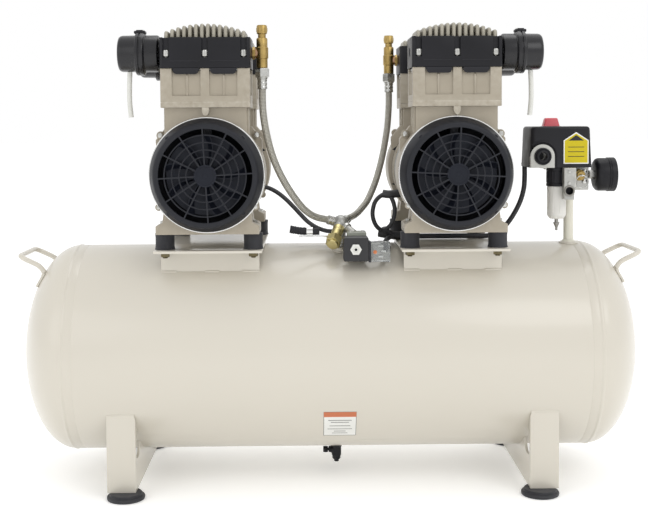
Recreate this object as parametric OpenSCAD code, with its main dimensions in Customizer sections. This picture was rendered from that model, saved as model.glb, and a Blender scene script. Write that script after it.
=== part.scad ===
// Twin stack air compressor: two twin-head oil-free pumps on one horizontal tank.
// X runs along the tank, -Y is the front, Z is up and the floor is z = 0. Millimetres.

/* [Tank] */
// Outer diameter of the tank
tank_d = 330; // [326:1:334]
// Overall length over both dished ends
tank_l = 984; // [980:1:990]
// Distance from the middle to each end seam
seam_x = 410; // [405:1:415]
// Height of the tank's axis above the floor
tank_z = 210; // [208:1:212]
// Plate thickness of the tank
tank_wall = 3.5; // [3:0.5:4.5]

/* [Legs and handles] */
// Distance from the middle to each leg's web
leg_x = 302; // [295:1:310]
// Width of each leg plate
leg_w = 44; // [40:1:48]
// Distance from the middle to the front plate of a leg
leg_y = 145; // [143:1:147]
// Thickness of the leg plate
leg_t = 4; // [3:0.5:5]
// Diameter of each foot pad
pad_d = 58; // [54:1:58]
// Thickness of each foot pad
pad_h = 10; // [8:1:12]
// Distance from the middle to each carry bar
grip_x = 496; // [495:1:498]
// Height of each carry bar
grip_z = 364; // [360:1:368]

/* [Saddles and rubber mounts] */
// Height of the saddle's top face
saddle_z = 380; // [379:1:381]
// Height of each rubber mount
mount_h = 25; // [24:1:26]
// Diameter of each rubber mount
mount_d = 30; // [26:1:32]
// Distance from the pump's middle to its mounts, along X
mount_x = 68; // [64:1:70]

/* [Pumps] */
// Distance from the middle of the tank to each pump
pump_x = 189; // [185:1:195]
// Height of the crankshaft
crank_z = 495; // [494:1:496]
// Distance from the pump's middle to each cylinder
head_y = 110; // [109:1:111]
// Outer radius of the crankcase rim
case_r = 88; // [87:1:89]
// Bore of each cylinder
bore_d = 60; // [56:1:62]
// Stroke of each piston
stroke = 16; // [14:1:16]

/* [Controls] */
// Distance from the middle of the tank to the riser pipe
riser_x = 390; // [388:1:391]
// Height of the underside of the pressure switch
switch_z = 500; // [500:1:500]
// Radius of the air outlet hole
outlet_r = 6; // [5:0.5:6.5]
// Radius of the cable entry hole
entry_r = 6; // [5:0.5:7]

/* [Hidden] */
$fn = 48;
EPS = 1;
ARC_STEPS = 5;

// Colours
tank_paint = [0.90, 0.88, 0.83];
cast_paint = [0.74, 0.71, 0.65];
fin_metal = [0.58, 0.56, 0.52];
black = [0.13, 0.13, 0.15];
steel = [0.68, 0.68, 0.68];
brass = [0.78, 0.62, 0.28];
copper = [0.72, 0.42, 0.22];

// Tank
tank_r = tank_d / 2;
cap_depth = tank_l / 2 - seam_x;
seam_step = 4;
CAP_STEPS = 18;
bung_x = riser_x;
bung_y = -10;

// Legs, handles and saddles
leg_top = tank_z - 20;
foot_depth = 40;
pad_x = leg_x + 16;
pad_y = leg_y - 5;
window_r = 14;
window_w = 37;
window_h = 40;
window_y = 118.5;
window_z = 78;
grip_y = 55;
grip_d = 8;
arm_x = 458;
arm_z = 346;
saddle_w = 165;
saddle_l = 280;
saddle_t = 4;
web_y = 97;

// Pump, heights first
foot_z = saddle_z + mount_h;
foot_t = 13;
foot_w = 157;
neck_w = 123;
flange_z = 597;
block_z = 605;
block_w = 134;
deck_z = 652;
head_z = 656;
shroud_top = 702;
fin_top = 723;
fin_count = 14;
fin_pitch = 8.9;
port_z = 680;
rim_y = 140;
case_back = 75;
case_inner_r = 82;
cast_wall = 5;
bell_r = 80;
bell_end = 45;
shaft_r = 7.5;
bearing_r = 17.5;
running_gap = 0.05;
throw = stroke / 2;
cam_r = 13;
big_end_r = 27;
big_end_wall = 6;
crown_z = 642;
crown_t = 12;
cover_face = 168;
cover_r = 86;
mouth_r = 70;
hub_r = 17;
filter_in = 72;
filter_out = 134;
filter_r = 28;
tee_x = 84;
bolt_d = 8;
bolt_hole_r = 4.2;

// Air and control pieces
cross_at = [16, -40, 412];
cross_r = 13;
valve_at = [25, -84, 372];
valve_to = [55, -52, 401];
check_at = [2, -80, 383];
check_r = 9;
manifold_y = -30;
filter_at = [361, -52, 0];
outlet_at = [374, -84, 464];
entry_at = [334, -75, 518];
gauge_at = [424, -30, 487];
needle_pin_r = 1;
relief_at = [399, manifold_y, 487];
stem_r = 1.5;
drain_x = 8;
drain_at_z = 32;
drain_stem_r = 2.5;
knob_at = [356, -30, 565.5];

// Cord routes, from the exit to the far end
hose_d = 11;
lead_d = 7;
cable_d = 8;
tail_d = 7.5;
left_hose_route = [[-105, -110, 625], [-105, -110, 607], [-104, -110, 588], [-101, -109, 566],
  [-96, -106, 542], [-89, -102, 518], [-80, -97, 496], [-69, -91, 475], [-57, -83, 456],
  [-45, -74, 440], [-33, -65, 429], [-22, -57, 423], [-12, -50, 420], [-4, -46, 418]];
right_hose_route = [[105, 110, 625], [105, 110, 607], [104, 109, 588], [102, 106, 566],
  [98, 101, 542], [93, 94, 518], [87, 85, 496], [80, 73, 475], [72, 60, 457],
  [63, 45, 441], [54, 31, 431], [46, 18, 424], [39, 6, 420], [33, -4, 418], [27, -15, 416]];
left_tail_route = [[-307, -110, 652], [-308, -110, 630], [-308, -110, 606], [-306, -110, 583]];
right_tail_route = [[307, -110, 652], [308, -110, 630], [308, -110, 606], [306, -110, 583]];
switch_cable_route = [[318, -10, 500], [318, -10, 482], [317, -9, 464], [312, -7, 444],
  [303, -4, 424], [291, 0, 405], [276, 4, 391], [258, 7, 385], [230, 8, 385], [195, 8, 385],
  [160, 8, 385], [132, 6, 385], [113, -1, 386], [100, -14, 387], [92, -34, 386],
  [86, -57, 382], [82, -80, 378]];
left_lead_route = [[-114, -12, 470], [-101, -13, 468], [-87, -14, 461], [-73, -15, 450],
  [-60, -16, 437], [-48, -17, 424], [-36, -18, 412], [-22, -19, 403], [-8, -20, 398],
  [3, -23, 397]];
right_lead_route = [[119, -10, 458], [106, -10, 459], [93, -10, 458], [82, -11, 453],
  [74, -12, 445], [70, -12, 434], [69, -13, 422], [72, -13, 410], [78, -12, 401], [87, -9, 395]];
right_loop_route = [[99, -16, 452], [103, -17, 442], [105, -17, 430], [103, -17, 417],
  [98, -16, 406], [91, -14, 399]];

// ---------- helpers ----------

function unit(v) = v / norm(v);
function heading(p, i) = unit(p[min(i + 1, len(p) - 1)] - p[max(i - 1, 0)]);
// A side vector at every point, turned as little as possible from one point to the next
function side_vectors(p, i, u) =
  let (t = heading(p, i), v = unit(u - (u * t) * t))
  i == len(p) - 1 ? [v] : concat([v], side_vectors(p, i + 1, v));

// Round tube swept along the points p
module sweep(p, d, n = 10) {
  u = side_vectors(p, 0, [0.3, 0.5, 0.8]);
  last = len(p) - 1;
  points = [for (i = [0:last], k = [0:n - 1])
    p[i] + d / 2 * (cos(360 * k / n) * u[i] + sin(360 * k / n) * cross(heading(p, i), u[i]))];
  skin = [for (i = [0:last - 1], k = [0:n - 1], upper = [0, 1])
    let (a = i * n + k, b = i * n + (k + 1) % n)
    upper == 0 ? [a, a + n, b + n] : [a, b + n, b]];
  start_cap = [[for (k = [0:n - 1]) k]];
  end_cap = [[for (k = [n - 1:-1:0]) last * n + k]];
  polyhedron(points = points, faces = concat(start_cap, skin, end_cap), convexity = 8);
}

module box(lo, hi) { translate(lo) cube(hi - lo); }
// Moves children so that their +Z points from a towards b
module aim(a, b) {
  v = b - a;
  translate(a) rotate([0, acos(v[2] / norm(v)), atan2(v[1], v[0])]) children();
}
module bar(a, b, d) { aim(a, b) cylinder(d = d, h = norm(b - a)); }
module along_x(x0, x1, r, sides = 48) {
  translate([x0, 0, 0]) rotate([0, 90, 0]) cylinder(r = r, h = x1 - x0, $fn = sides);
}
module along_y(y0, y1, r, sides = 48) {
  translate([0, y1, 0]) rotate([90, 0, 0]) cylinder(r = r, h = y1 - y0, $fn = sides);
}
module both_x() { children(); mirror([1, 0, 0]) children(); }
module both_y() { children(); mirror([0, 1, 0]) children(); }
module four() { both_x() both_y() children(); }
// The right pump is the left one turned half a turn about the vertical
module at_pump(side) {
  translate([side * pump_x, 0, 0]) rotate([0, 0, side > 0 ? 180 : 0]) children();
}
// Rectangle w by l with corners of radius r, centred
module round_rect(w, l, r) {
  polygon([for (corner = [0:3], step = [0:ARC_STEPS])
    let (a = 90 * (corner + step / ARC_STEPS),
      sx = corner == 0 || corner == 3 ? 1 : -1,
      sy = corner < 2 ? 1 : -1)
    [sx * (w / 2 - r) + r * cos(a), sy * (l / 2 - r) + r * sin(a)]]);
}

// ---------- tank ----------

// One dished end, revolved about X, of outer radius r and depth d, from the seam outwards
module dish(r, d) {
  rotate([0, 90, 0]) rotate_extrude($fn = 96)
    polygon(concat([[0, seam_x - seam_step], [r, seam_x - seam_step]],
      [for (i = [0:CAP_STEPS - 1]) [r * cos(90 * i / CAP_STEPS), seam_x + d * sin(90 * i / CAP_STEPS)]],
      [[0, seam_x + d]]));
}
module tank_solid() {
  translate([0, 0, tank_z]) {
    along_x(-seam_x, seam_x, tank_r, 96);
    both_x() dish(tank_r, cap_depth);
  }
}

module tank_shell() {
  color(tank_paint) difference() {
    union() {
      translate([0, 0, tank_z]) along_x(seam_step - seam_x, seam_x - seam_step, tank_r, 96);
      translate([bung_x, bung_y, tank_z + tank_r - 6]) cylinder(r = 14, h = 8);
      translate([cross_at[0], cross_at[1], tank_z + tank_r - 12]) cylinder(r = 14, h = 11);
      translate([drain_x, 0, tank_z - tank_r - 3]) cylinder(r = 12, h = 9);
    }
    translate([0, 0, tank_z]) along_x(-tank_l, tank_l, tank_r - tank_wall, 96);
    translate([bung_x, bung_y, tank_z]) cylinder(r = 8, h = tank_r + 9);
    translate([cross_at[0], cross_at[1], tank_z]) cylinder(r = 8, h = tank_r + 9);
    translate([drain_x, 0, 0]) cylinder(r = 5, h = tank_z);
  }
}

module tank_end_caps() {
  color(tank_paint) translate([0, 0, tank_z]) both_x() difference() {
    dish(tank_r, cap_depth);
    translate([-EPS, 0, 0]) dish(tank_r - tank_wall, cap_depth - tank_wall + EPS);
  }
}

module carry_handles() {
  color(tank_paint) difference() {
    four() {
      corner = [grip_x, grip_y, grip_z];
      shoulder = [arm_x, grip_y, arm_z];
      bar([grip_x, 0, grip_z], corner, grip_d);
      translate(corner) sphere(d = grip_d);
      bar(corner, shoulder, grip_d);
      translate(shoulder) sphere(d = grip_d);
      bar(shoulder, [arm_x - 6, grip_y, arm_z - 30], grip_d);
      translate([arm_x - 4.5, grip_y - 9, arm_z - 10]) rotate([0, 60, 0]) cube([24, 18, 4]);
    }
    tank_solid();
  }
}

// Bent plate leg: a web under the tank, a plate at the front and back, and a foot at each corner
module leg() {
  difference() {
    union() {
      both_y() {
        translate([leg_x, leg_y, 0]) rotate([90, 0, 0]) linear_extrude(leg_t)
          polygon([[0, pad_h], [leg_w, pad_h], [leg_w, leg_top], [20, leg_top], [0, leg_top - 66]]);
        box([leg_x, leg_y - foot_depth, pad_h], [leg_x + leg_w, leg_y, pad_h + leg_t]);
      }
      box([leg_x, -leg_y + leg_t, pad_h], [leg_x + leg_t, leg_y - leg_t, leg_top - 66]);
    }
    tank_solid();
    both_y() {
      translate([pad_x, pad_y - 12, 0]) cylinder(r = 4.5, h = 30);
      translate([leg_x - EPS, window_y, window_z]) rotate([90, 0, 90]) linear_extrude(leg_t + 2 * EPS)
        round_rect(window_w, window_h, window_r);
    }
  }
}
module tank_legs() { color(tank_paint) both_x() leg(); }

module foot_pads() {
  color(black) four() translate([pad_x, pad_y, 0]) {
    cylinder(d = pad_d, h = pad_h - 4);
    cylinder(d = pad_d - 8, h = pad_h);
    translate([0, -12, 0]) cylinder(r = 4.5, h = pad_h + leg_t + 3);
  }
}

module pump_saddles() {
  color(tank_paint) both_x() difference() {
    translate([pump_x, 0, 0]) {
      box([-saddle_w / 2, -saddle_l / 2, saddle_z - saddle_t], [saddle_w / 2, saddle_l / 2, saddle_z]);
      both_y() box([6 - saddle_w / 2, web_y - 4, tank_z],
        [saddle_w / 2 - 6, web_y, saddle_z - saddle_t]);
    }
    tank_solid();
    translate([pump_x, 0, tank_z]) four()
      translate([mount_x, head_y, 0]) cylinder(r = bolt_hole_r, h = saddle_z);
  }
}

module drain_valve() {
  color(black) translate([drain_x, 0, 0]) difference() {
    union() {
      translate([0, 0, 22]) cylinder(r = 8, h = tank_z - tank_r - 25);
      translate([0, 0, 12]) cylinder(r = 4.5, h = 10);
      translate([0, 0, drain_at_z]) along_x(-13, 0, 6);
    }
    translate([0, 0, 0]) cylinder(r = 2, h = 28);
    translate([0, 0, drain_at_z]) along_x(-14, 5, drain_stem_r + running_gap);
  }
}

module drain_knob() {
  color(black) translate([drain_x, 0, drain_at_z]) {
    along_x(-15, 4, drain_stem_r);
    along_x(-22, -14, 5);
    box([-21, -11, -2.5], [-15, 11, 2.5]);
  }
}

// ---------- rubber mounts and bolts ----------

module at_mounts() {
  both_x() translate([pump_x, 0, 0]) four() translate([mount_x, head_y, 0]) children();
}

module rubber_mounts() {
  color(black) at_mounts() translate([0, 0, saddle_z]) difference() {
    union() {
      cylinder(d = mount_d, h = mount_h);
      cylinder(d = mount_d + 1, h = 2);
    }
    translate([0, 0, -EPS]) cylinder(r = bolt_hole_r, h = mount_h + 2 * EPS);
  }
}

module mounting_bolts() {
  color(steel) at_mounts() {
    translate([0, 0, saddle_z - 14]) cylinder(d = bolt_d, h = foot_z + foot_t - saddle_z + 14);
    translate([0, 0, foot_z + foot_t]) cylinder(d = 14, h = 6, $fn = 6);
    translate([0, 0, saddle_z - saddle_t - 1.5]) cylinder(d = 18, h = 1.5);
    translate([0, 0, saddle_z - saddle_t - 8]) cylinder(d = 15, h = 6.5, $fn = 6);
  }
}

// ---------- pump castings, local to one pump, front half drawn at -Y ----------

// Front view of a crankcase casting, seen along Y
module case_outline() {
  translate([0, crank_z]) circle(case_r, $fn = 96);
  translate([-neck_w / 2, crank_z]) square([neck_w, flange_z - crank_z]);
  half = foot_w / 2;
  polygon([[-half, foot_z], [half, foot_z], [half, foot_z + foot_t], [68, foot_z + 18],
    [66, foot_z + 34], [76, crank_z - 44], [-76, crank_z - 44], [-66, foot_z + 34],
    [-68, foot_z + 18], [-half, foot_z + foot_t]]);
}

// Raised shoulders beside the neck, which carry the screws of the motor's end bell
module shoulder_outline() {
  polygon([[-82, crank_z], [82, crank_z], [82, 548], [66, 568], [-66, 568], [-82, 548]]);
}

module crankcases() {
  color(cast_paint) both_y() difference() {
    union() {
      translate([0, -case_back, 0]) rotate([90, 0, 0]) linear_extrude(rim_y - case_back) case_outline();
      translate([0, -case_back, 0]) rotate([90, 0, 0]) linear_extrude(22) shoulder_outline();
      box([-block_w / 2, -150, flange_z], [block_w / 2, -70, block_z]);
      translate([0, -rim_y, flange_z]) rotate([0, 45, 0]) cube([9, 12, 9], center = true);
      translate([0, 0, crank_z]) along_y(-case_back, -bell_end, bell_r, 96);
    }
    translate([0, 0, crank_z]) {
      along_y(-rim_y - EPS, -case_back - cast_wall, case_inner_r, 96);
      along_y(-case_back + EPS - 3, -bell_end + EPS, bell_r - 8, 96);
      along_y(-rim_y, 0, bearing_r);
    }
    translate([0, -head_y, crank_z]) cylinder(r = 28, h = 200);
    for (x = [-mount_x, mount_x]) translate([x, -head_y, 0]) {
      cylinder(r = bolt_hole_r, h = foot_z + foot_t + EPS);
      translate([0, 0, foot_z + foot_t]) cylinder(r = 9, h = 16);
    }
  }
}

module motor_stator() {
  translate([0, 0, crank_z]) {
    color(steel) difference() {
      along_y(-bell_end, bell_end, bell_r, 96);
      along_y(-bell_end - EPS, bell_end + EPS, 45);
    }
    color(copper) both_y() difference() {
      along_y(-bell_end - 18, -bell_end, 66);
      along_y(-bell_end - 19, -bell_end + EPS, 48);
    }
  }
}

module bearings() {
  translate([0, 0, crank_z]) both_y() difference() {
    along_y(-case_back - cast_wall, -case_back + 3, bearing_r);
    along_y(-rim_y, 0, shaft_r + running_gap);
  }
}
module shaft_bearings() { color(steel) { at_pump(-1) bearings(); at_pump(1) bearings(); } }

module cylinders() {
  lug_tops = [[-67, -49.5], [-7, 6.5], [48, 67]];
  ribs = [-27, 28];
  color(cast_paint) both_y() difference() {
    union() {
      box([3 - block_w / 2, -147, block_z], [block_w / 2 - 3, -73, deck_z]);
      box([-block_w / 2, -150, block_z], [block_w / 2, -70, block_z + 10]);
      for (lug = lug_tops) {
        box([lug[0], -150, block_z], [lug[1], -140, head_z]);
        box([lug[0], -80, block_z], [lug[1], -70, head_z]);
      }
      for (rib = ribs) box([rib - 1.5, -149, block_z], [rib + 1.5, -71, deck_z - 6]);
      both_x() for (y = [-138, -122, -106, -90])
        box([block_w / 2 - 5, y, block_z], [block_w / 2, y + 4, deck_z - 4]);
    }
    box([-block_w / 2 - EPS, -142, deck_z], [block_w / 2 + EPS, -78, head_z + EPS]);
    translate([0, -head_y, block_z - EPS]) cylinder(d = bore_d, h = 100);
  }
}

module fins() {
  for (i = [0:fin_count - 1]) {
    x = (i - (fin_count - 1) / 2) * fin_pitch;
    top = fin_top - 11 * pow(x / 58, 2);
    translate([x - 2.9, 0, 0]) rotate([90, 0, 90]) linear_extrude(5.8)
      translate([-head_y, (shroud_top - 6 + top) / 2]) round_rect(74, top - shroud_top + 6, 7);
  }
}

module cylinder_heads() {
  color(fin_metal) {
    both_y() {
      box([-64, -142, deck_z], [64, -78, head_z]);
      box([-60, -145, head_z], [60, -75, shroud_top - 2]);
      fins();
      for (x = [-58, 0, 58]) translate([x, -148, head_z + 18]) cylinder(r = 3.5, h = 14);
    }
    translate([30, 0, port_z]) along_y(-75, 75, 8);
  }
}

module head_shrouds() {
  color(black) both_y() difference() {
    union() {
      translate([0, -head_y, head_z]) linear_extrude(shroud_top - head_z) difference() {
        round_rect(136, 84, 5);
        round_rect(130, 78, 3);
      }
      for (x = [-48, 8]) {
        box([x, -152, head_z - 9], [x + 39, -150.2, head_z]);
        box([x, -69.8, head_z - 9], [x + 39, -68, head_z]);
      }
    }
    for (x = [-58, 0, 58]) box([x - 4.5, -160, head_z + 16], [x + 4.5, -144, shroud_top + EPS]);
    translate([0, -head_y, port_z]) {
      along_x(-80, -50, 12);
      along_x(50, 80, 7);
    }
    translate([30, 0, port_z]) along_y(-80, 0, 8);
  }
}

module fan_covers() {
  color(black) both_y() translate([0, 0, crank_z]) {
    rotate([90, 0, 0]) rotate_extrude($fn = 96) polygon([[case_inner_r - 2, rim_y], [cover_r, rim_y],
      [cover_r, rim_y + 5], [mouth_r + 6, cover_face], [mouth_r, cover_face],
      [mouth_r, cover_face - 4], [case_inner_r - 2, rim_y + 4]]);
    for (r = [28.5, 39, 50, 61]) difference() {
      along_y(-cover_face, 3 - cover_face, r + 1, 96);
      along_y(-cover_face - EPS, 4 - cover_face, r - 1, 96);
    }
    along_y(-cover_face, 4 - cover_face, hub_r);
    for (i = [0:11]) rotate([0, 30 * i + 3, 0])
      box([hub_r - 1, -cover_face, -1.3], [mouth_r + 1, 3 - cover_face, 1.3]);
  }
}

module intake_filters() {
  color(black) both_y() translate([0, -head_y, port_z]) {
    along_x(-filter_in, -60, 12);
    rotate([0, -90, 0]) rotate_extrude($fn = 64) polygon([[0, filter_in], [filter_r - 2, filter_in],
      [filter_r, filter_in + 2], [filter_r, 94], [filter_r + 5, 95], [filter_r + 5, 107],
      [filter_r, 108], [filter_r, filter_out - 3], [filter_r - 3, filter_out], [0, filter_out]]);
    box([-110, -9, filter_r + 2], [-93, 9, filter_r + 8]);
  }
}

// ---------- moving parts of a pump ----------

module rotor_shaft() {
  color(steel) translate([0, 0, crank_z]) {
    along_y(-158, 158, shaft_r);
    along_y(-bell_end, bell_end, 44.3, 64);
    for (end = [-1, 1]) {
      translate([-end * throw, end * head_y, 0]) along_y(-6, 6, cam_r);
      translate([0, end * (head_y + 14), 0]) difference() {
        along_y(-3, 3, 26);
        translate([-end * 18, 0, 0]) cube([24, 8, 60], center = true);
      }
    }
  }
}

module cooling_fans() {
  color(black) both_y() translate([0, 0, crank_z]) {
    difference() {
      union() {
        along_y(-161, -146, 15);
        along_y(-148, -146, 60);
        for (i = [0:8]) rotate([0, 40 * i, 0]) box([14, -160, -1], [62, -146.5, 1]);
      }
      along_y(-165, -140, shaft_r);
    }
  }
}

// Piston, rod and an open big end that clears the turning eccentric
module piston(end) {
  color(steel) translate([0, end * head_y, 0]) {
    translate([0, 0, crown_z - crown_t]) cylinder(r = bore_d / 2 - 0.08, h = crown_t);
    box([-7, -6, crank_z + big_end_r + 2], [7, 6, crown_z - crown_t + 1]);
    translate([0, 0, crank_z]) difference() {
      along_y(-6, 6, big_end_r + big_end_wall);
      along_y(-7, 7, big_end_r);
    }
  }
}

// ---------- air lines ----------

module tee() {
  translate([tee_x, -head_y, 657]) {
    cylinder(r = 8.5, h = 46);
    cylinder(r = 6, h = 54);
    translate([0, 0, 52]) cylinder(r = 8, h = 14);
  }
  translate([0, -head_y, port_z]) along_x(60, tee_x, 7);
}
module outlet_tees() { color(brass) { at_pump(-1) tee(); at_pump(1) tee(); } }

module hose_end() {
  translate([tee_x, -head_y, 643]) cylinder(r = 11, h = 14, $fn = 6);
  translate([tee_x, -head_y, 625]) cylinder(r = 7.5, h = 18);
}
module hose_fittings() {
  color(steel) {
    at_pump(-1) hose_end();
    at_pump(1) hose_end();
    difference() {
      for (route = [left_hose_route, right_hose_route]) bar(route[len(route) - 1], cross_at, 15);
      translate(cross_at) sphere(r = cross_r);
      aim(cross_at, check_at) cylinder(r = check_r, h = 60);
    }
  }
}

module left_discharge_hose() { color(steel) sweep(left_hose_route, hose_d); }
module right_discharge_hose() { color(steel) sweep(right_hose_route, hose_d); }
module left_filter_tail() { color("white") sweep(left_tail_route, tail_d, 8); }
module right_filter_tail() { color("white") sweep(right_tail_route, tail_d, 8); }
module switch_cable() { color(black) sweep(switch_cable_route, cable_d, 8); }
module left_motor_cable() { color(black) sweep(left_lead_route, lead_d, 8); }
module right_motor_cable() { color(black) sweep(right_lead_route, lead_d, 8); }
module right_loop_cable() { color(black) sweep(right_loop_route, lead_d, 8); }

module inlet_cross() {
  color(steel) difference() {
    union() {
      translate(cross_at) sphere(r = cross_r);
      translate([cross_at[0], cross_at[1], tank_z + tank_r - 8]) cylinder(r = 8, h = 40);
      translate([cross_at[0], cross_at[1], tank_z + tank_r + 4]) cylinder(r = 11, h = 10, $fn = 6);
      bar(cross_at, [38, -64, 396], 12);
      box([-52, -30, 388], [12, -16, 390.5]);
    }
    box(valve_at, valve_to);
    aim(cross_at, check_at) cylinder(r = check_r, h = 60);
  }
}

module inlet_check_valve() {
  color(brass) aim(cross_at, check_at) {
    translate([0, 0, 10]) cylinder(r = check_r, h = 28);
    translate([0, 0, 37]) cylinder(r = 13, h = 14, $fn = 6);
    translate([0, 0, 50]) cylinder(r = 9.5, h = 5);
  }
}

module solenoid_valve() {
  color(steel) {
    box(valve_at, valve_to);
    translate([37, 0, 378]) {
      along_y(-118, valve_at[1], 5);
      along_y(-122, -116, 9, 6);
    }
  }
}

module solenoid_coil() {
  color(black) difference() {
    box([18, -116, 359], [57, valve_at[1], 396]);
    translate([37, 0, 378]) along_y(-120, -80, 5);
  }
}

module solenoid_connector() {
  color([0.8, 0.8, 0.78]) {
    box([57, -112, 357], [91, -88, 389]);
    translate([82, 0, 378]) along_y(-88, -80, 7);
  }
}

// ---------- controls ----------

module riser_pipe() {
  color(tank_paint) translate([bung_x, bung_y, tank_z + tank_r - 4]) difference() {
    cylinder(r = 8, h = 462 - tank_z - tank_r + 4);
    translate([0, 0, -EPS]) cylinder(r = 5.5, h = 200);
  }
}

module control_manifold() {
  color(steel) difference() {
    union() {
      box([385, manifold_y, 462], [418, 10, switch_z]);
      box([378, outlet_at[1], 470], [385, -15, switch_z]);
      box([366, outlet_at[1], 450], [382, -69, switch_z]);
    }
    translate([bung_x, bung_y, 460]) cylinder(r = 5.5, h = 30);
    translate([outlet_at[0], outlet_at[1], outlet_at[2]]) along_y(-EPS, 13, outlet_r);
  }
}

module switch_base() {
  color([0.75, 0.75, 0.73]) difference() {
    union() {
      translate([364.5, -30, switch_z]) linear_extrude(4) round_rect(91.5, 72.5, 5);
      box([330, -55, switch_z + 4], [400, -5, switch_z + 34]);
      box([315, -75, switch_z], [353, -66.5, 518]);
      translate([entry_at[0], 0, entry_at[2]]) along_y(-75, -70.5, 19);
    }
    translate([entry_at[0], 0, entry_at[2]]) along_y(-76, -64, entry_r);
    translate([entry_at[0], 0, entry_at[2]]) along_y(-70, -54, entry_r);
  }
}

module switch_cover() {
  color(black) difference() {
    translate([364.5, -30, switch_z]) linear_extrude(65) round_rect(99, 80, 8);
    translate([364.5, -30, switch_z - EPS]) linear_extrude(63) round_rect(92.5, 73.5, 5);
    box([314, -80, switch_z - EPS], [354, -66, 519]);
    translate([entry_at[0], 0, 518]) along_y(-80, -66, 20);
    translate([knob_at[0], knob_at[1], switch_z]) cylinder(r = 4.4, h = 80);
  }
}

module switch_knob() {
  color([0.78, 0.2, 0.24]) translate(knob_at) {
    linear_extrude(13) round_rect(26, 20, 3);
    translate([0, 0, -20]) cylinder(r = 4, h = 21);
  }
}

module gauge_body() {
  color(black) translate([0, gauge_at[1], gauge_at[2]]) difference() {
    union() {
      along_x(gauge_at[0] + 2, 459, 27.5, 64);
      along_x(418, gauge_at[0] + 3, 7, 6);
    }
    along_x(450, 460, 25, 64);
    along_x(444, 451, needle_pin_r + 0.05, 24);
  }
}

module gauge_needle() {
  color("red") translate([0, gauge_at[1], gauge_at[2]]) {
    along_x(445, 453, needle_pin_r, 24);
    along_x(451.5, 453, 3, 24);
    rotate([45, 0, 0]) box([451.5, -1, -20], [452.5, 1, 6]);
  }
}

module filter_head() {
  color(black) difference() {
    translate([filter_at[0], filter_at[1], 470]) cylinder(r = 16.5, h = 30);
    translate([filter_at[0], filter_at[1], 469]) cylinder(r = 10, h = 20);
  }
}

module filter_bowl() {
  color([0.8, 0.85, 0.85, 0.5]) translate([filter_at[0], filter_at[1], 0]) difference() {
    union() {
      translate([0, 0, 424]) cylinder(r = 15, h = 46);
      translate([0, 0, 418]) cylinder(r1 = 11, r2 = 15, h = 6.001, $fn = 48);
    }
    translate([0, 0, 424]) cylinder(r = 12.5, h = 50);
    translate([0, 0, 410]) cylinder(r = 3.06, h = 20);
  }
}

module bowl_drain() {
  color(steel) translate([filter_at[0], filter_at[1], 0]) {
    translate([0, 0, 406]) cylinder(r = 3, h = 20);
    translate([0, 0, 399]) cylinder(r = 2, h = 8);
    translate([0, 0, 424.3]) cylinder(r = 5, h = 2);
    translate([0, 0, 408]) cylinder(r = 5, h = 4);
  }
}

module safety_valve() {
  color(brass) translate([relief_at[0], 0, relief_at[2]]) difference() {
    union() {
      along_y(manifold_y - 8, manifold_y, 10, 6);
      along_y(manifold_y - 22, manifold_y - 8, 9);
      along_y(manifold_y - 26, manifold_y - 22, 6);
    }
    along_y(-80, manifold_y - 14, stem_r + running_gap);
  }
}

module safety_ring() {
  color(steel) translate([relief_at[0], 0, relief_at[2]]) {
    along_y(-66, manifold_y - 18, stem_r);
    translate([0, -64, -10]) rotate([90, 0, 0]) rotate_extrude() translate([10, 0]) circle(0.9, $fn = 16);
  }
}

// ---------- the assembly ----------

tank_shell();
tank_end_caps();
carry_handles();
tank_legs();
foot_pads();
pump_saddles();
drain_valve();
drain_knob();
rubber_mounts();
mounting_bolts();
shaft_bearings();
at_pump(-1) crankcases();  // left_crankcases
at_pump(-1) motor_stator();  // left_motor_stator
at_pump(-1) cylinders();  // left_cylinders
at_pump(-1) cylinder_heads();  // left_cylinder_heads
at_pump(-1) head_shrouds();  // left_head_shrouds
at_pump(-1) fan_covers();  // left_fan_covers
at_pump(-1) intake_filters();  // left_intake_filters
at_pump(-1) rotor_shaft();  // left_rotor_shaft
at_pump(-1) cooling_fans();  // left_cooling_fans
at_pump(-1) piston(-1);  // left_front_piston
at_pump(-1) piston(1);  // left_rear_piston
at_pump(1) crankcases();  // right_crankcases
at_pump(1) motor_stator();  // right_motor_stator
at_pump(1) cylinders();  // right_cylinders
at_pump(1) cylinder_heads();  // right_cylinder_heads
at_pump(1) head_shrouds();  // right_head_shrouds
at_pump(1) fan_covers();  // right_fan_covers
at_pump(1) intake_filters();  // right_intake_filters
at_pump(1) rotor_shaft();  // right_rotor_shaft
at_pump(1) cooling_fans();  // right_cooling_fans
at_pump(1) piston(1);  // right_front_piston
at_pump(1) piston(-1);  // right_rear_piston
outlet_tees();
hose_fittings();
left_discharge_hose();
right_discharge_hose();
left_filter_tail();
right_filter_tail();
inlet_cross();
inlet_check_valve();
solenoid_valve();
solenoid_coil();
solenoid_connector();
riser_pipe();
control_manifold();
switch_base();
switch_cover();
switch_knob();
gauge_body();
gauge_needle();
filter_head();
filter_bowl();
bowl_drain();
safety_valve();
safety_ring();
switch_cable();
left_motor_cable();
right_motor_cable();
right_loop_cable();
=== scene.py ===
"""Twin stack air compressor: looks, cords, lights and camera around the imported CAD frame."""

import math

import bmesh
import bpy
from mathutils import Matrix, Vector


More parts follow.
